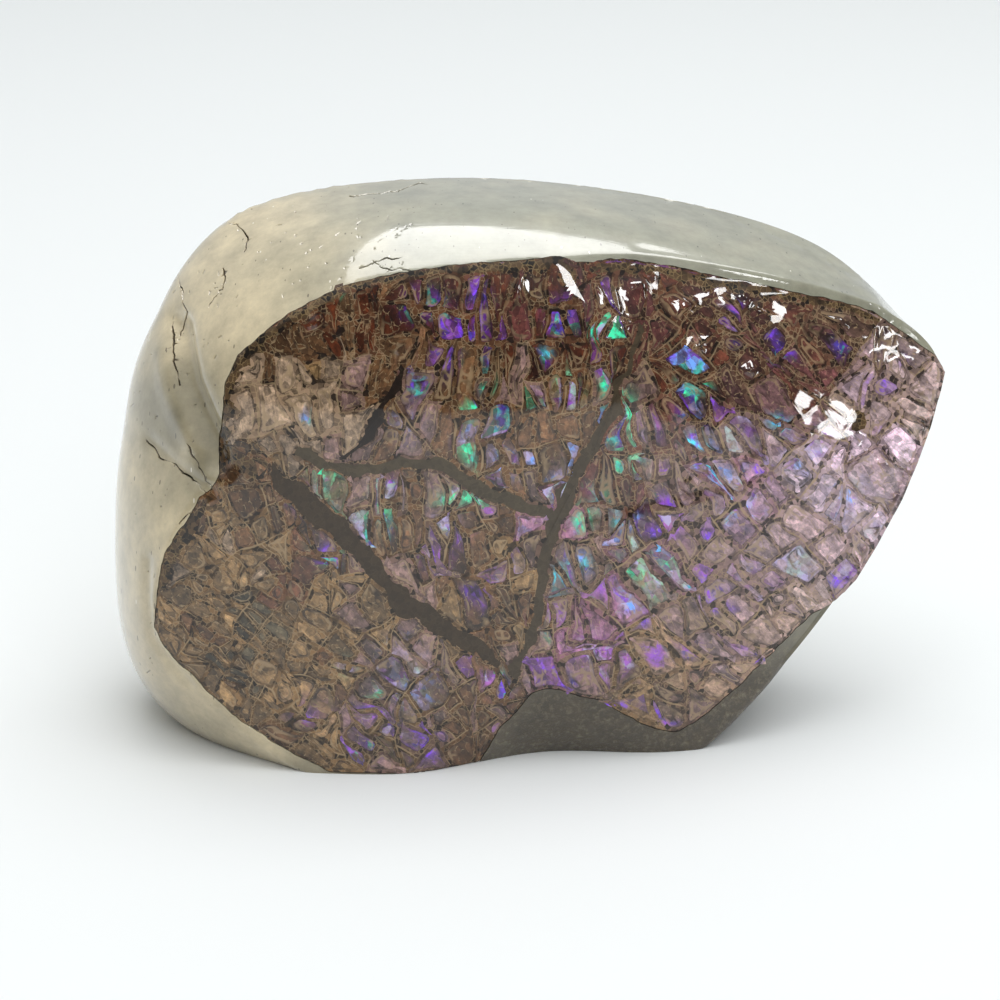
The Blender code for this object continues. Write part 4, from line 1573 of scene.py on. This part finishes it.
@dataclass(frozen=True)
class PolishedIronstone:
    """Sideritic ironstone, sawn and polished to a gloss: pewter grey to tan, with pits and drag lines."""

    tan: str = "D5C5A2"
    grey: str = "949380"
    # Colour of the painted shade towards the bottom and in the foot's hollow
    dark: str = "433722"
    grit: str = "857A5E"
    # Greenish grey of the flute, partly painted shade of the groove
    flute_grey_and_shade: str = "77725E"
    # Colour of the dark specks, and of the painted shade in pits and cracks
    pit: str = "33261A"
    # Near white of the painted glints of small nicks
    painted_nick_glint: str = "EFE9DA"
    roughness: float = 0.32

    def make(self) -> bpy.types.Material:
        """Returns the material."""
        material, tree, shader = new_material("polished_ironstone")
        place = add(tree, "TexCoord").outputs["Object"]
        axes = add(tree, "SeparateXYZ", {"Vector": place})
        warp = add(tree, "TexNoise", {"Vector": place, "Scale": 90.0, "Detail": 4.0})
        drift = add(tree, "Math", {0: warp, 1: 0.5}, operation="SUBTRACT")
        # Tan at the upper left, pewter grey along the top, and painted shade: darker towards the bottom and
        # in the foot's hollow
        right, low, foot = (
            add(tree, "MapRange", {"Value": axes.outputs[axis], "From Min": start, "From Max": end},
                interpolation_type="SMOOTHSTEP")
            for axis, start, end in (("X", -0.046, -0.006), ("Z", 0.030, 0.006), ("X", -0.034, -0.012)))
        shift = add(tree, "Math", {0: drift, 1: 0.9, 2: right}, operation="MULTIPLY_ADD", use_clamp=True)
        foot = add(tree, "MapRange", {"Value": foot, "To Min": 0.22, "To Max": 1.0})
        low = add(tree, "Math", {0: low, 1: foot}, operation="MULTIPLY")
        painted_foot_shade = add(tree, "Math", {0: drift, 1: 0.7, 2: low}, operation="MULTIPLY_ADD", use_clamp=True)
        # Coarse grains of 0.6 mm in the foot, where its painted shade lies
        grain = add(tree, "TexNoise", {"Vector": place, "Scale": 1300.0, "Detail": 5.0, "Roughness": 0.75})
        coarse = add(tree, "MapRange", {"Value": grain, "From Min": 0.5, "From Max": 0.68, "To Max": 0.7})
        coarse = add(tree, "Math", {0: coarse, 1: painted_foot_shade}, operation="MULTIPLY")
        # Greenish grey along the flute, partly the stone's own colour and partly painted shade of the groove
        flute = add(tree, "Attribute", attribute_name="flute").outputs["Fac"]
        flute = add(tree, "Math", {0: flute, 1: 0.75}, operation="MULTIPLY")
        body = linear(self.tan)
        for factor, layer in ((shift, self.grey), (painted_foot_shade, self.dark), (coarse, self.grit), (flute, self.flute_grey_and_shade)):
            body = add(tree, "Mix", {"Factor": factor, "A": body, "B": linear(layer)}, data_type="RGBA")
        # Clouds of 4 mm down to 0.2 mm, the mottle of the sediment
        mottle = add(tree, "TexNoise", {"Vector": place, "Scale": 240.0, "Detail": 9.0, "Roughness": 0.72})
        value = add(tree, "MapRange", {"Value": mottle, "From Min": 0.3, "From Max": 0.7,
                                       "To Min": 0.74, "To Max": 1.2})
        body = add(tree, "VectorMath", {0: body, "Scale": value}, operation="SCALE")
        # Specks up to 0.5 mm long, drawn out along the bedding: most dark, some near white as painted glints
        # of small nicks
        drawn = add(tree, "Mapping", {"Vector": place, "Rotation": (0.0, 0.9, 0.0), "Scale": (1.0, 0.5, 0.3)})
        speck = add(tree, "TexVoronoi", {"Vector": drawn, "Scale": 1700.0, "Randomness": 1.0})
        own = add(tree, "SeparateColor", {"Color": speck.outputs["Color"]})
        reach = add(tree, "MapRange", {"Value": own.outputs["Blue"], "To Min": 0.06, "To Max": 0.24})
        dot = add(tree, "Math", {0: speck, 1: reach}, operation="LESS_THAN")
        many = add(tree, "MapRange", {"Value": warp, "From Min": 0.35, "From Max": 0.65,
                                      "To Min": 0.97, "To Max": 0.72})
        chosen = add(tree, "Math", {0: own.outputs["Red"], 1: many}, operation="GREATER_THAN")
        bright = add(tree, "Math", {0: own.outputs["Green"], 1: 0.975}, operation="GREATER_THAN")
        for which, strength, layer in ((chosen, 0.6, self.pit), (bright, 0.8, self.painted_nick_glint)):
            mark = add(tree, "Math", {0: dot, 1: which}, operation="MULTIPLY")
            mark = add(tree, "Math", {0: mark, 1: strength}, operation="MULTIPLY")
            body = add(tree, "Mix", {"Factor": mark, "A": body, "B": linear(layer)}, data_type="RGBA")
        # Painted shade in the pits and cracks, darker the deeper they are
        hollow_shade = add(tree, "Attribute", attribute_name="hollow_shade").outputs["Fac"]
        pit = add(tree, "MapRange", {"Value": hollow_shade, "From Min": 0.05, "From Max": 0.8, "To Max": 0.85})
        body = add(tree, "Mix", {"Factor": pit, "A": body, "B": linear(self.pit)}, data_type="RGBA")
        # Drag lines of the belt, 0.15 mm apart, along the block
        combed = add(tree, "Mapping", {"Vector": place, "Rotation": (0.0, 0.06, 0.0),
                                       "Scale": (60.0, 3300.0, 3300.0)})
        drag = add(tree, "TexNoise", {"Vector": combed, "Scale": 1.0, "Detail": 2.0})
        lines = add(tree, "Bump", {"Height": drag, "Strength": 0.10, "Distance": 0.0001})
        rough = add(tree, "MapRange", {"Value": painted_foot_shade, "From Min": 0.5, "To Max": 0.8})
        lines = add(tree, "Bump", {"Height": grain, "Strength": rough, "Normal": lines, "Distance": 0.0004})
        feed(shader, {"Base Color": body, "Normal": lines, "Coat Normal": lines, "Roughness": self.roughness,
                      "Coat Weight": 1.0, "Coat Roughness": 0.05})
        return material


@dataclass(frozen=True)
class NacrePlate:
    """Ammonite nacre under a clear polish: glassy brown aragonite that flashes spectral colours."""

    crack: str = "B79C76"
    # Dark rim of a plate: a dark joint, partly painted shade of the crevice
    cleft: str = "1E120D"
    border: str = "2E1A0E"
    # Strength of the painted glow of the strongest flashes
    flash_glow: float = 0.42
    roughness: float = 0.35

    def make(self) -> bpy.types.Material:
        """Returns the material."""
        material, tree, shader = new_material("ammolite_nacre")
        tint, flash, drift = (add(tree, "Attribute", attribute_name=name).outputs["Color"]
                              for name in ("tint", "flash", "flash_two"))
        glow, shine, gleam, core, height = (add(tree, "Attribute", attribute_name=name).outputs["Fac"]
                                            for name in ("glow", "shine", "gleam", "core", "height"))
        flow = add(tree, "UVMap", uv_map="flow")
        # Growth lines about 0.3 mm apart, drawn out along the plate
        drawn = add(tree, "Mapping", {"Vector": flow, "Scale": (0.45, 3.2, 1.0)})
        streak = add(tree, "TexNoise", {"Vector": drawn, "Scale": 1.0, "Detail": 5.0, "Roughness": 0.65})
        # Inner facets about a millimetre across, each with a shade of its own
        bent = add(tree, "TexNoise", {"Vector": flow, "Scale": 1.4, "Detail": 3.0})
        bend = add(tree, "VectorMath", {0: bent.outputs["Color"], 1: (0.6, 0.6, 0.0), 2: flow},
                   operation="MULTIPLY_ADD")
        long = add(tree, "Mapping", {"Vector": bend, "Scale": (0.7, 1.1, 1.0)})
        facet, edge = (
            add(tree, "TexVoronoi", {"Vector": long, "Scale": 1.0, "Randomness": 1.0}, feature=feature)
            for feature in ("F1", "DISTANCE_TO_EDGE"))
        shade = add(tree, "SeparateColor", {"Color": facet.outputs["Color"]})
        # Milky and stained clouds from 0.3 to 3 mm
        cloud = add(tree, "TexNoise", {"Vector": flow, "Scale": 0.8, "Detail": 8.0, "Roughness": 0.7})
        patchy = add(tree, "MapRange", {"Value": cloud, "From Min": 0.32, "From Max": 0.68,
                                        "To Min": 0.35, "To Max": 2.0})
        own = add(tree, "MapRange", {"Value": shade.outputs["Red"], "To Min": 0.6, "To Max": 1.5})
        value = add(tree, "MapRange", {"Value": streak, "From Min": 0.3, "From Max": 0.7,
                                       "To Min": 0.72, "To Max": 1.22})
        for factor in (patchy, own):
            value = add(tree, "Math", {0: value, 1: factor}, operation="MULTIPLY")
        body = add(tree, "VectorMath", {0: tint, "Scale": value}, operation="SCALE")
        # The plate is clear in the middle and browner towards its uneven border
        shift = add(tree, "Math", {0: cloud, 1: 0.9, 2: core}, operation="MULTIPLY_ADD")
        heart = add(tree, "MapRange", {"Value": shift, "From Min": 0.35, "From Max": 1.0},
                    interpolation_type="SMOOTHSTEP")
        dim = add(tree, "MapRange", {"Value": heart, "To Min": 0.72, "To Max": 0.0})
        # Flash, stronger on some inner facets and broken up by the clouds
        glow = add(tree, "Math", {0: glow, 1: shine}, operation="ADD")
        for factor in (gleam, heart):
            glow = add(tree, "Math", {0: glow, 1: factor}, operation="MULTIPLY")
        lit = add(tree, "MapRange", {"Value": shade.outputs["Green"], "To Min": 0.6, "To Max": 2.0})
        lit = add(tree, "Math", {0: lit, 1: glow}, operation="MULTIPLY")
        broken = add(tree, "MapRange", {"Value": cloud, "From Min": 0.36, "From Max": 0.55,
                                        "To Min": 0.35, "To Max": 1.0})
        lit = add(tree, "Math", {0: lit, 1: broken}, operation="MULTIPLY", use_clamp=True)
        turn = add(tree, "TexNoise", {"Vector": flow, "Scale": 0.42, "Detail": 2.0})
        turn = add(tree, "MapRange", {"Value": turn, "From Min": 0.44, "From Max": 0.56})
        hue = add(tree, "Mix", {"Factor": turn, "A": flash, "B": drift}, data_type="RGBA")
        # Fine cracks inside the plate, some of them filled with tan clay
        inner = add(tree, "MapRange", {"Value": edge, "From Min": 0.05, "From Max": 0.015})
        some = add(tree, "MapRange", {"Value": bent, "From Min": 0.5, "From Max": 0.6, "To Max": 0.6})
        fine = add(tree, "Math", {0: inner, 1: some}, operation="MULTIPLY")
        # Rim of the plate: tan where clay has come up, dark elsewhere, partly a dark joint and partly painted
        # shade of the crevice
        place = add(tree, "TexCoord").outputs["Object"]
        fill = add(tree, "TexNoise", {"Vector": place, "Scale": 260.0, "Detail": 3.0})
        clay = add(tree, "MapRange", {"Value": fill, "From Min": 0.40, "From Max": 0.54})
        earth = add(tree, "Mix", {"Factor": 0.62, "A": tint, "B": linear(self.crack)}, data_type="RGBA")
        line = add(tree, "Mix", {"Factor": clay, "A": linear(self.cleft), "B": earth}, data_type="RGBA")
        rim = add(tree, "MapRange", {"Value": height, "From Min": 0.98, "From Max": 0.75, "To Max": 0.8})
        layers = (dim, linear(self.border)), (lit, hue), (fine, linear(self.crack)), (rim, line)
        for factor, layer in layers:
            body = add(tree, "Mix", {"Factor": factor, "A": body, "B": layer}, data_type="RGBA")
        # Interference light is brighter than any pigment, so the strongest flashes are painted with a little
        # glow, though the nacre is no lamp
        flash_glow = add(tree, "MapRange", {"Value": lit, "From Min": 0.35, "From Max": 1.0, "To Max": self.flash_glow})
        relief = add(tree, "Bump", {"Height": streak, "Strength": 0.35, "Distance": 0.0002})
        coat = add(tree, "Attribute", attribute_name="polish").outputs["Vector"]
        feed(shader, {"Base Color": body, "Emission Color": hue, "Emission Strength": flash_glow, "Normal": relief,
                      "Coat Normal": coat, "Roughness": self.roughness, "Specular IOR Level": 0.15,
                      "Coat Weight": 1.0, "Coat IOR": 1.62, "Coat Roughness": 0.03})
        return material


@dataclass(frozen=True)
class CrushedShell:
    """Crushed shell and clay between the plates: brown, granular and laced with tan lines.

    Attributes:
        name: Name of the material.
        body: Colour of its lighter grains.
        dark: Colour of its darker grains.
        line: Colour of the tan lines and the clay.
        lace: Strength of the lines between its splinters.
        stain: Share of the colour that comes from the plates beside it.
        seam: Strength of the clay along the middle.
        contrast: How much that colour varies from grain to grain.
    """

    name: str = "crushed_shell"
    body: str = "6A4E34"
    dark: str = "1E120A"
    line: str = "B49A76"
    lace: float = 0.5
    stain: float = 0.5
    seam: float = 0.7
    contrast: float = 0.85

    def make(self) -> bpy.types.Material:
        """Returns the material."""
        material, tree, shader = new_material(self.name)
        place = add(tree, "TexCoord").outputs["Object"]
        # Splinters about 0.5 mm across
        warp = add(tree, "TexNoise", {"Vector": place, "Scale": 1400.0, "Detail": 3.0})
        bent = add(tree, "VectorMath", {0: warp.outputs["Color"], 1: (0.0005, 0.0005, 0.0005), 2: place},
                   operation="MULTIPLY_ADD")
        cells, grain = (add(tree, "TexVoronoi", {"Vector": bent, "Scale": 1500.0}, feature=feature)
                        for feature in ("DISTANCE_TO_EDGE", "F1"))
        own = add(tree, "SeparateColor", {"Color": grain.outputs["Color"]})
        patch = add(tree, "TexNoise", {"Vector": place, "Scale": 420.0, "Detail": 5.0, "Roughness": 0.6})
        mix = add(tree, "Math", {0: own.outputs["Red"], 1: patch}, operation="ADD")
        tone = add(tree, "MapRange", {"Value": mix, "From Min": 0.6, "From Max": 1.35})
        body = add(tree, "Mix", {"Factor": tone, "A": linear(self.dark), "B": linear(self.body)},
                   data_type="RGBA")
        tint = add(tree, "Attribute", attribute_name="tint").outputs["Color"]
        shade = add(tree, "MapRange", {"Value": tone, "To Min": 1 - self.contrast,
                                       "To Max": 1 + self.contrast})
        stained = add(tree, "VectorMath", {0: tint, "Scale": shade}, operation="SCALE")
        lines = add(tree, "MapRange", {"Value": cells, "From Min": 0.10, "From Max": 0.03})
        where = add(tree, "MapRange", {"Value": patch, "From Min": 0.42, "From Max": 0.56,
                                       "To Max": self.lace})
        veil = add(tree, "Math", {0: lines, 1: where}, operation="MULTIPLY")
        # Clay squeezed up here and there along the middle of the crack, little of it under the upper edge
        spread = add(tree, "TexNoise", {"Vector": place, "Scale": 230.0, "Detail": 3.0})
        there = add(tree, "MapRange", {"Value": spread, "From Min": 0.44, "From Max": 0.56,
                                       "To Max": self.seam})
        axes = add(tree, "SeparateXYZ", {"Vector": place})
        lower = add(tree, "MapRange", {"Value": axes.outputs["Z"], "From Min": 0.064, "From Max": 0.046,
                                       "To Min": 0.3})
        there = add(tree, "Math", {0: there, 1: lower}, operation="MULTIPLY")
        height = add(tree, "Attribute", attribute_name="height").outputs["Fac"]
        uneven = add(tree, "Math", {0: patch, 1: 0.7, 2: height}, operation="MULTIPLY_ADD")
        seam = add(tree, "MapRange", {"Value": uneven, "From Min": 0.58, "From Max": 0.40})
        seam = add(tree, "Math", {0: seam, 1: there}, operation="MULTIPLY")
        for factor, layer in ((self.stain, stained), (veil, linear(self.line)), (seam, linear(self.line))):
            body = add(tree, "Mix", {"Factor": factor, "A": body, "B": layer}, data_type="RGBA")
        relief = add(tree, "Bump", {"Height": own.outputs["Green"], "Strength": 0.5, "Distance": 0.0002})
        coat = add(tree, "Attribute", attribute_name="polish").outputs["Vector"]
        feed(shader, {"Base Color": body, "Normal": relief, "Coat Normal": coat, "Roughness": 0.6,
                      "Specular IOR Level": 0.15, "Coat Weight": 1.0, "Coat Roughness": 0.03})
        return material


# The studio


@dataclass(frozen=True)
class Lamp:
    """A soft light above or beside the specimen.

    Attributes:
        name: Its name.
        at: Its place in metres.
        aim: Height in metres, above the middle of the floor, that it points at.
        size: Its width and depth.
        power: Its power in watts.
        mirrored: Whether it shows only in the polish. Otherwise the polish doesn't show it.
    """

    name: str
    at: tuple[float, float, float]
    aim: float
    size: tuple[float, float]
    power: float
    mirrored: bool = True

    def build(self) -> None:
        """Puts the light in the scene."""
        lamp = bpy.data.lights.new(self.name, "AREA")
        lamp.shape, lamp.size, lamp.size_y, lamp.energy = "RECTANGLE", *self.size, self.power
        item = bpy.data.objects.new(self.name, lamp)
        item.location = self.at
        item.rotation_euler = (Vector((0, 0, self.aim)) - Vector(self.at)).to_track_quat("-Z", "Y").to_euler()
        item.visible_glossy, item.visible_diffuse = self.mirrored, not self.mirrored
        bpy.context.scene.collection.objects.link(item)


# The lamps of the studio. The polish mirrors some along the bevel and in spots on the shell's shoulder
LAMPS = (
    Lamp("overhead", (0.10, 0.0, 0.9), 0, (0.9, 0.9), 6.1, mirrored=False),
    Lamp("front", (0.3, -0.9, 0.8), 0.03, (0.6, 0.6), 2.6, mirrored=False),
    Lamp("mirrored_bank", (0.13, 0.36, 0.9), 0, (0.85, 0.76), 10.0),
    Lamp("mirrored_lamp", (0.55, -0.78, 0.62), 0.05, (0.19, 0.19), 2.2),
    Lamp("mirrored_blotch", (0.855, -0.527, 0.566), 0.05, (0.10, 0.10), 0.54),
    Lamp("mirrored_arc", (1.04, -0.385, 0.336), 0.05, (0.08, 0.025), 0.10),
    Lamp("mirrored_streak", (0.98, -0.576, 0.161), 0.05, (0.06, 0.05), 0.15),
)


@dataclass
class Studio:
    """Pale floor, soft lights and the camera."""

    view: Viewpoint
    floor_half: float = 1.5
    floor_colour: str = "EDEFEF"
    dim_room: str = "4A4744"
    pale_room: str = "D6DADB"
    room_strength: float = 0.88

    def build(self) -> None:
        """Sets up the floor, the lights, the world and the camera."""
        shape = bmesh.new()
        bmesh.ops.create_grid(shape, x_segments=1, y_segments=1, size=self.floor_half)
        floor = placed("studio_floor", stored(shape, "studio_floor"))
        # Matt paper: pale, with no gloss of its own
        material, _, shader = new_material("matt_paper")
        feed(shader, {"Base Color": linear(self.floor_colour), "Roughness": 0.9, "Specular IOR Level": 0.0})
        floor.data.materials.append(material)
        for lamp in LAMPS:
            lamp.build()
        bpy.context.scene.world = self.room()
        camera = bpy.data.objects.new("camera", bpy.data.cameras.new("camera"))
        camera.data.lens, camera.data.sensor_width = self.view.lens, self.view.sensor
        camera.data.clip_start = 0.01
        eye, aim = Vector(self.view.eye) * MM, Vector(self.view.aim) * MM
        camera.location = eye
        camera.rotation_euler = (aim - eye).to_track_quat("-Z", "Y").to_euler()
        bpy.context.scene.collection.objects.link(camera)
        bpy.context.scene.camera = camera
        bpy.context.scene.view_settings.view_transform = "Standard"

    def room(self) -> bpy.types.World:
        """Makes the room that the polish mirrors: pale overhead and behind, darker behind the camera.

        Returns:
            The world.
        """
        world = bpy.data.worlds.new("soft_room")
        world.use_nodes = True
        tree = world.node_tree
        way = add(tree, "SeparateXYZ", {"Vector": add(tree, "TexCoord").outputs["Generated"]})
        up, back = (
            add(tree, "MapRange", {"Value": way.outputs[axis], "From Min": start, "From Max": end},
                interpolation_type="SMOOTHSTEP")
            for axis, start, end in (("Z", 0.35, 0.75), ("Y", -0.35, 0.25)))
        open_side = add(tree, "Math", {0: up, 1: back}, operation="MAXIMUM")
        tone = add(tree, "Mix", {"Factor": open_side, "A": linear(self.dim_room),
                                 "B": linear(self.pale_room)}, data_type="RGBA")
        feed(tree.nodes["Background"], {"Color": tone, "Strength": self.room_strength})
        return world


def natural(loop: list[Pixel]) -> list[Pixel]:
    """Gives the sheet's outline its small natural steps.

    Args:
        loop: The outline.

    Returns:
        A finer outline.
    """
    fine = dense(loop, 4.5, True)
    moved = []
    for u, v in fine:
        far = 0.2 if u > 850 and v > 340 else 1.4
        moved.append((u + far * wobble((u, v), 8, 1.5), v + far * wobble((u, v), 8, 2.5)))
    return moved


def main() -> None:
    """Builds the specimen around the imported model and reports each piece."""
    logging.basicConfig(level=logging.INFO, format="%(name)s: %(message)s")
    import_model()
    view = Viewpoint()
    Studio(view).build()
    form = FreeForm(view)
    form.build()
    outline = natural(SHELL_OUTLINE)
    stone = Ironstone(form, outline)
    stone.build()
    stone.dress(PolishedIronstone().make())
    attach(stone.piece, "root")
    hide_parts("ironstone_matrix")
    log.info("%s: %d faces", stone.piece.name, len(stone.piece.data.polygons))
    sheet = ShellSheet(form, outline)
    sheet.build()
    crust = CrushedShell("weathered_crust", body="5A452E", dark="17100A", line="A58A5E", stain=0.0, seam=0.0)
    vein = CrushedShell("vein_ironstone", body="80786A", dark="5A5348", line="8A7A5C", lace=0.06, stain=1.0,
                        seam=0.0, contrast=0.16)
    sheet.dress([finish.make() for finish in (NacrePlate(), CrushedShell(), crust, vein)])
    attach(sheet.piece, "root")
    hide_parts("shell_sheet")
    log.info("%s: %d faces", sheet.piece.name, len(sheet.piece.data.polygons))


if __name__ == "__main__":
    main()
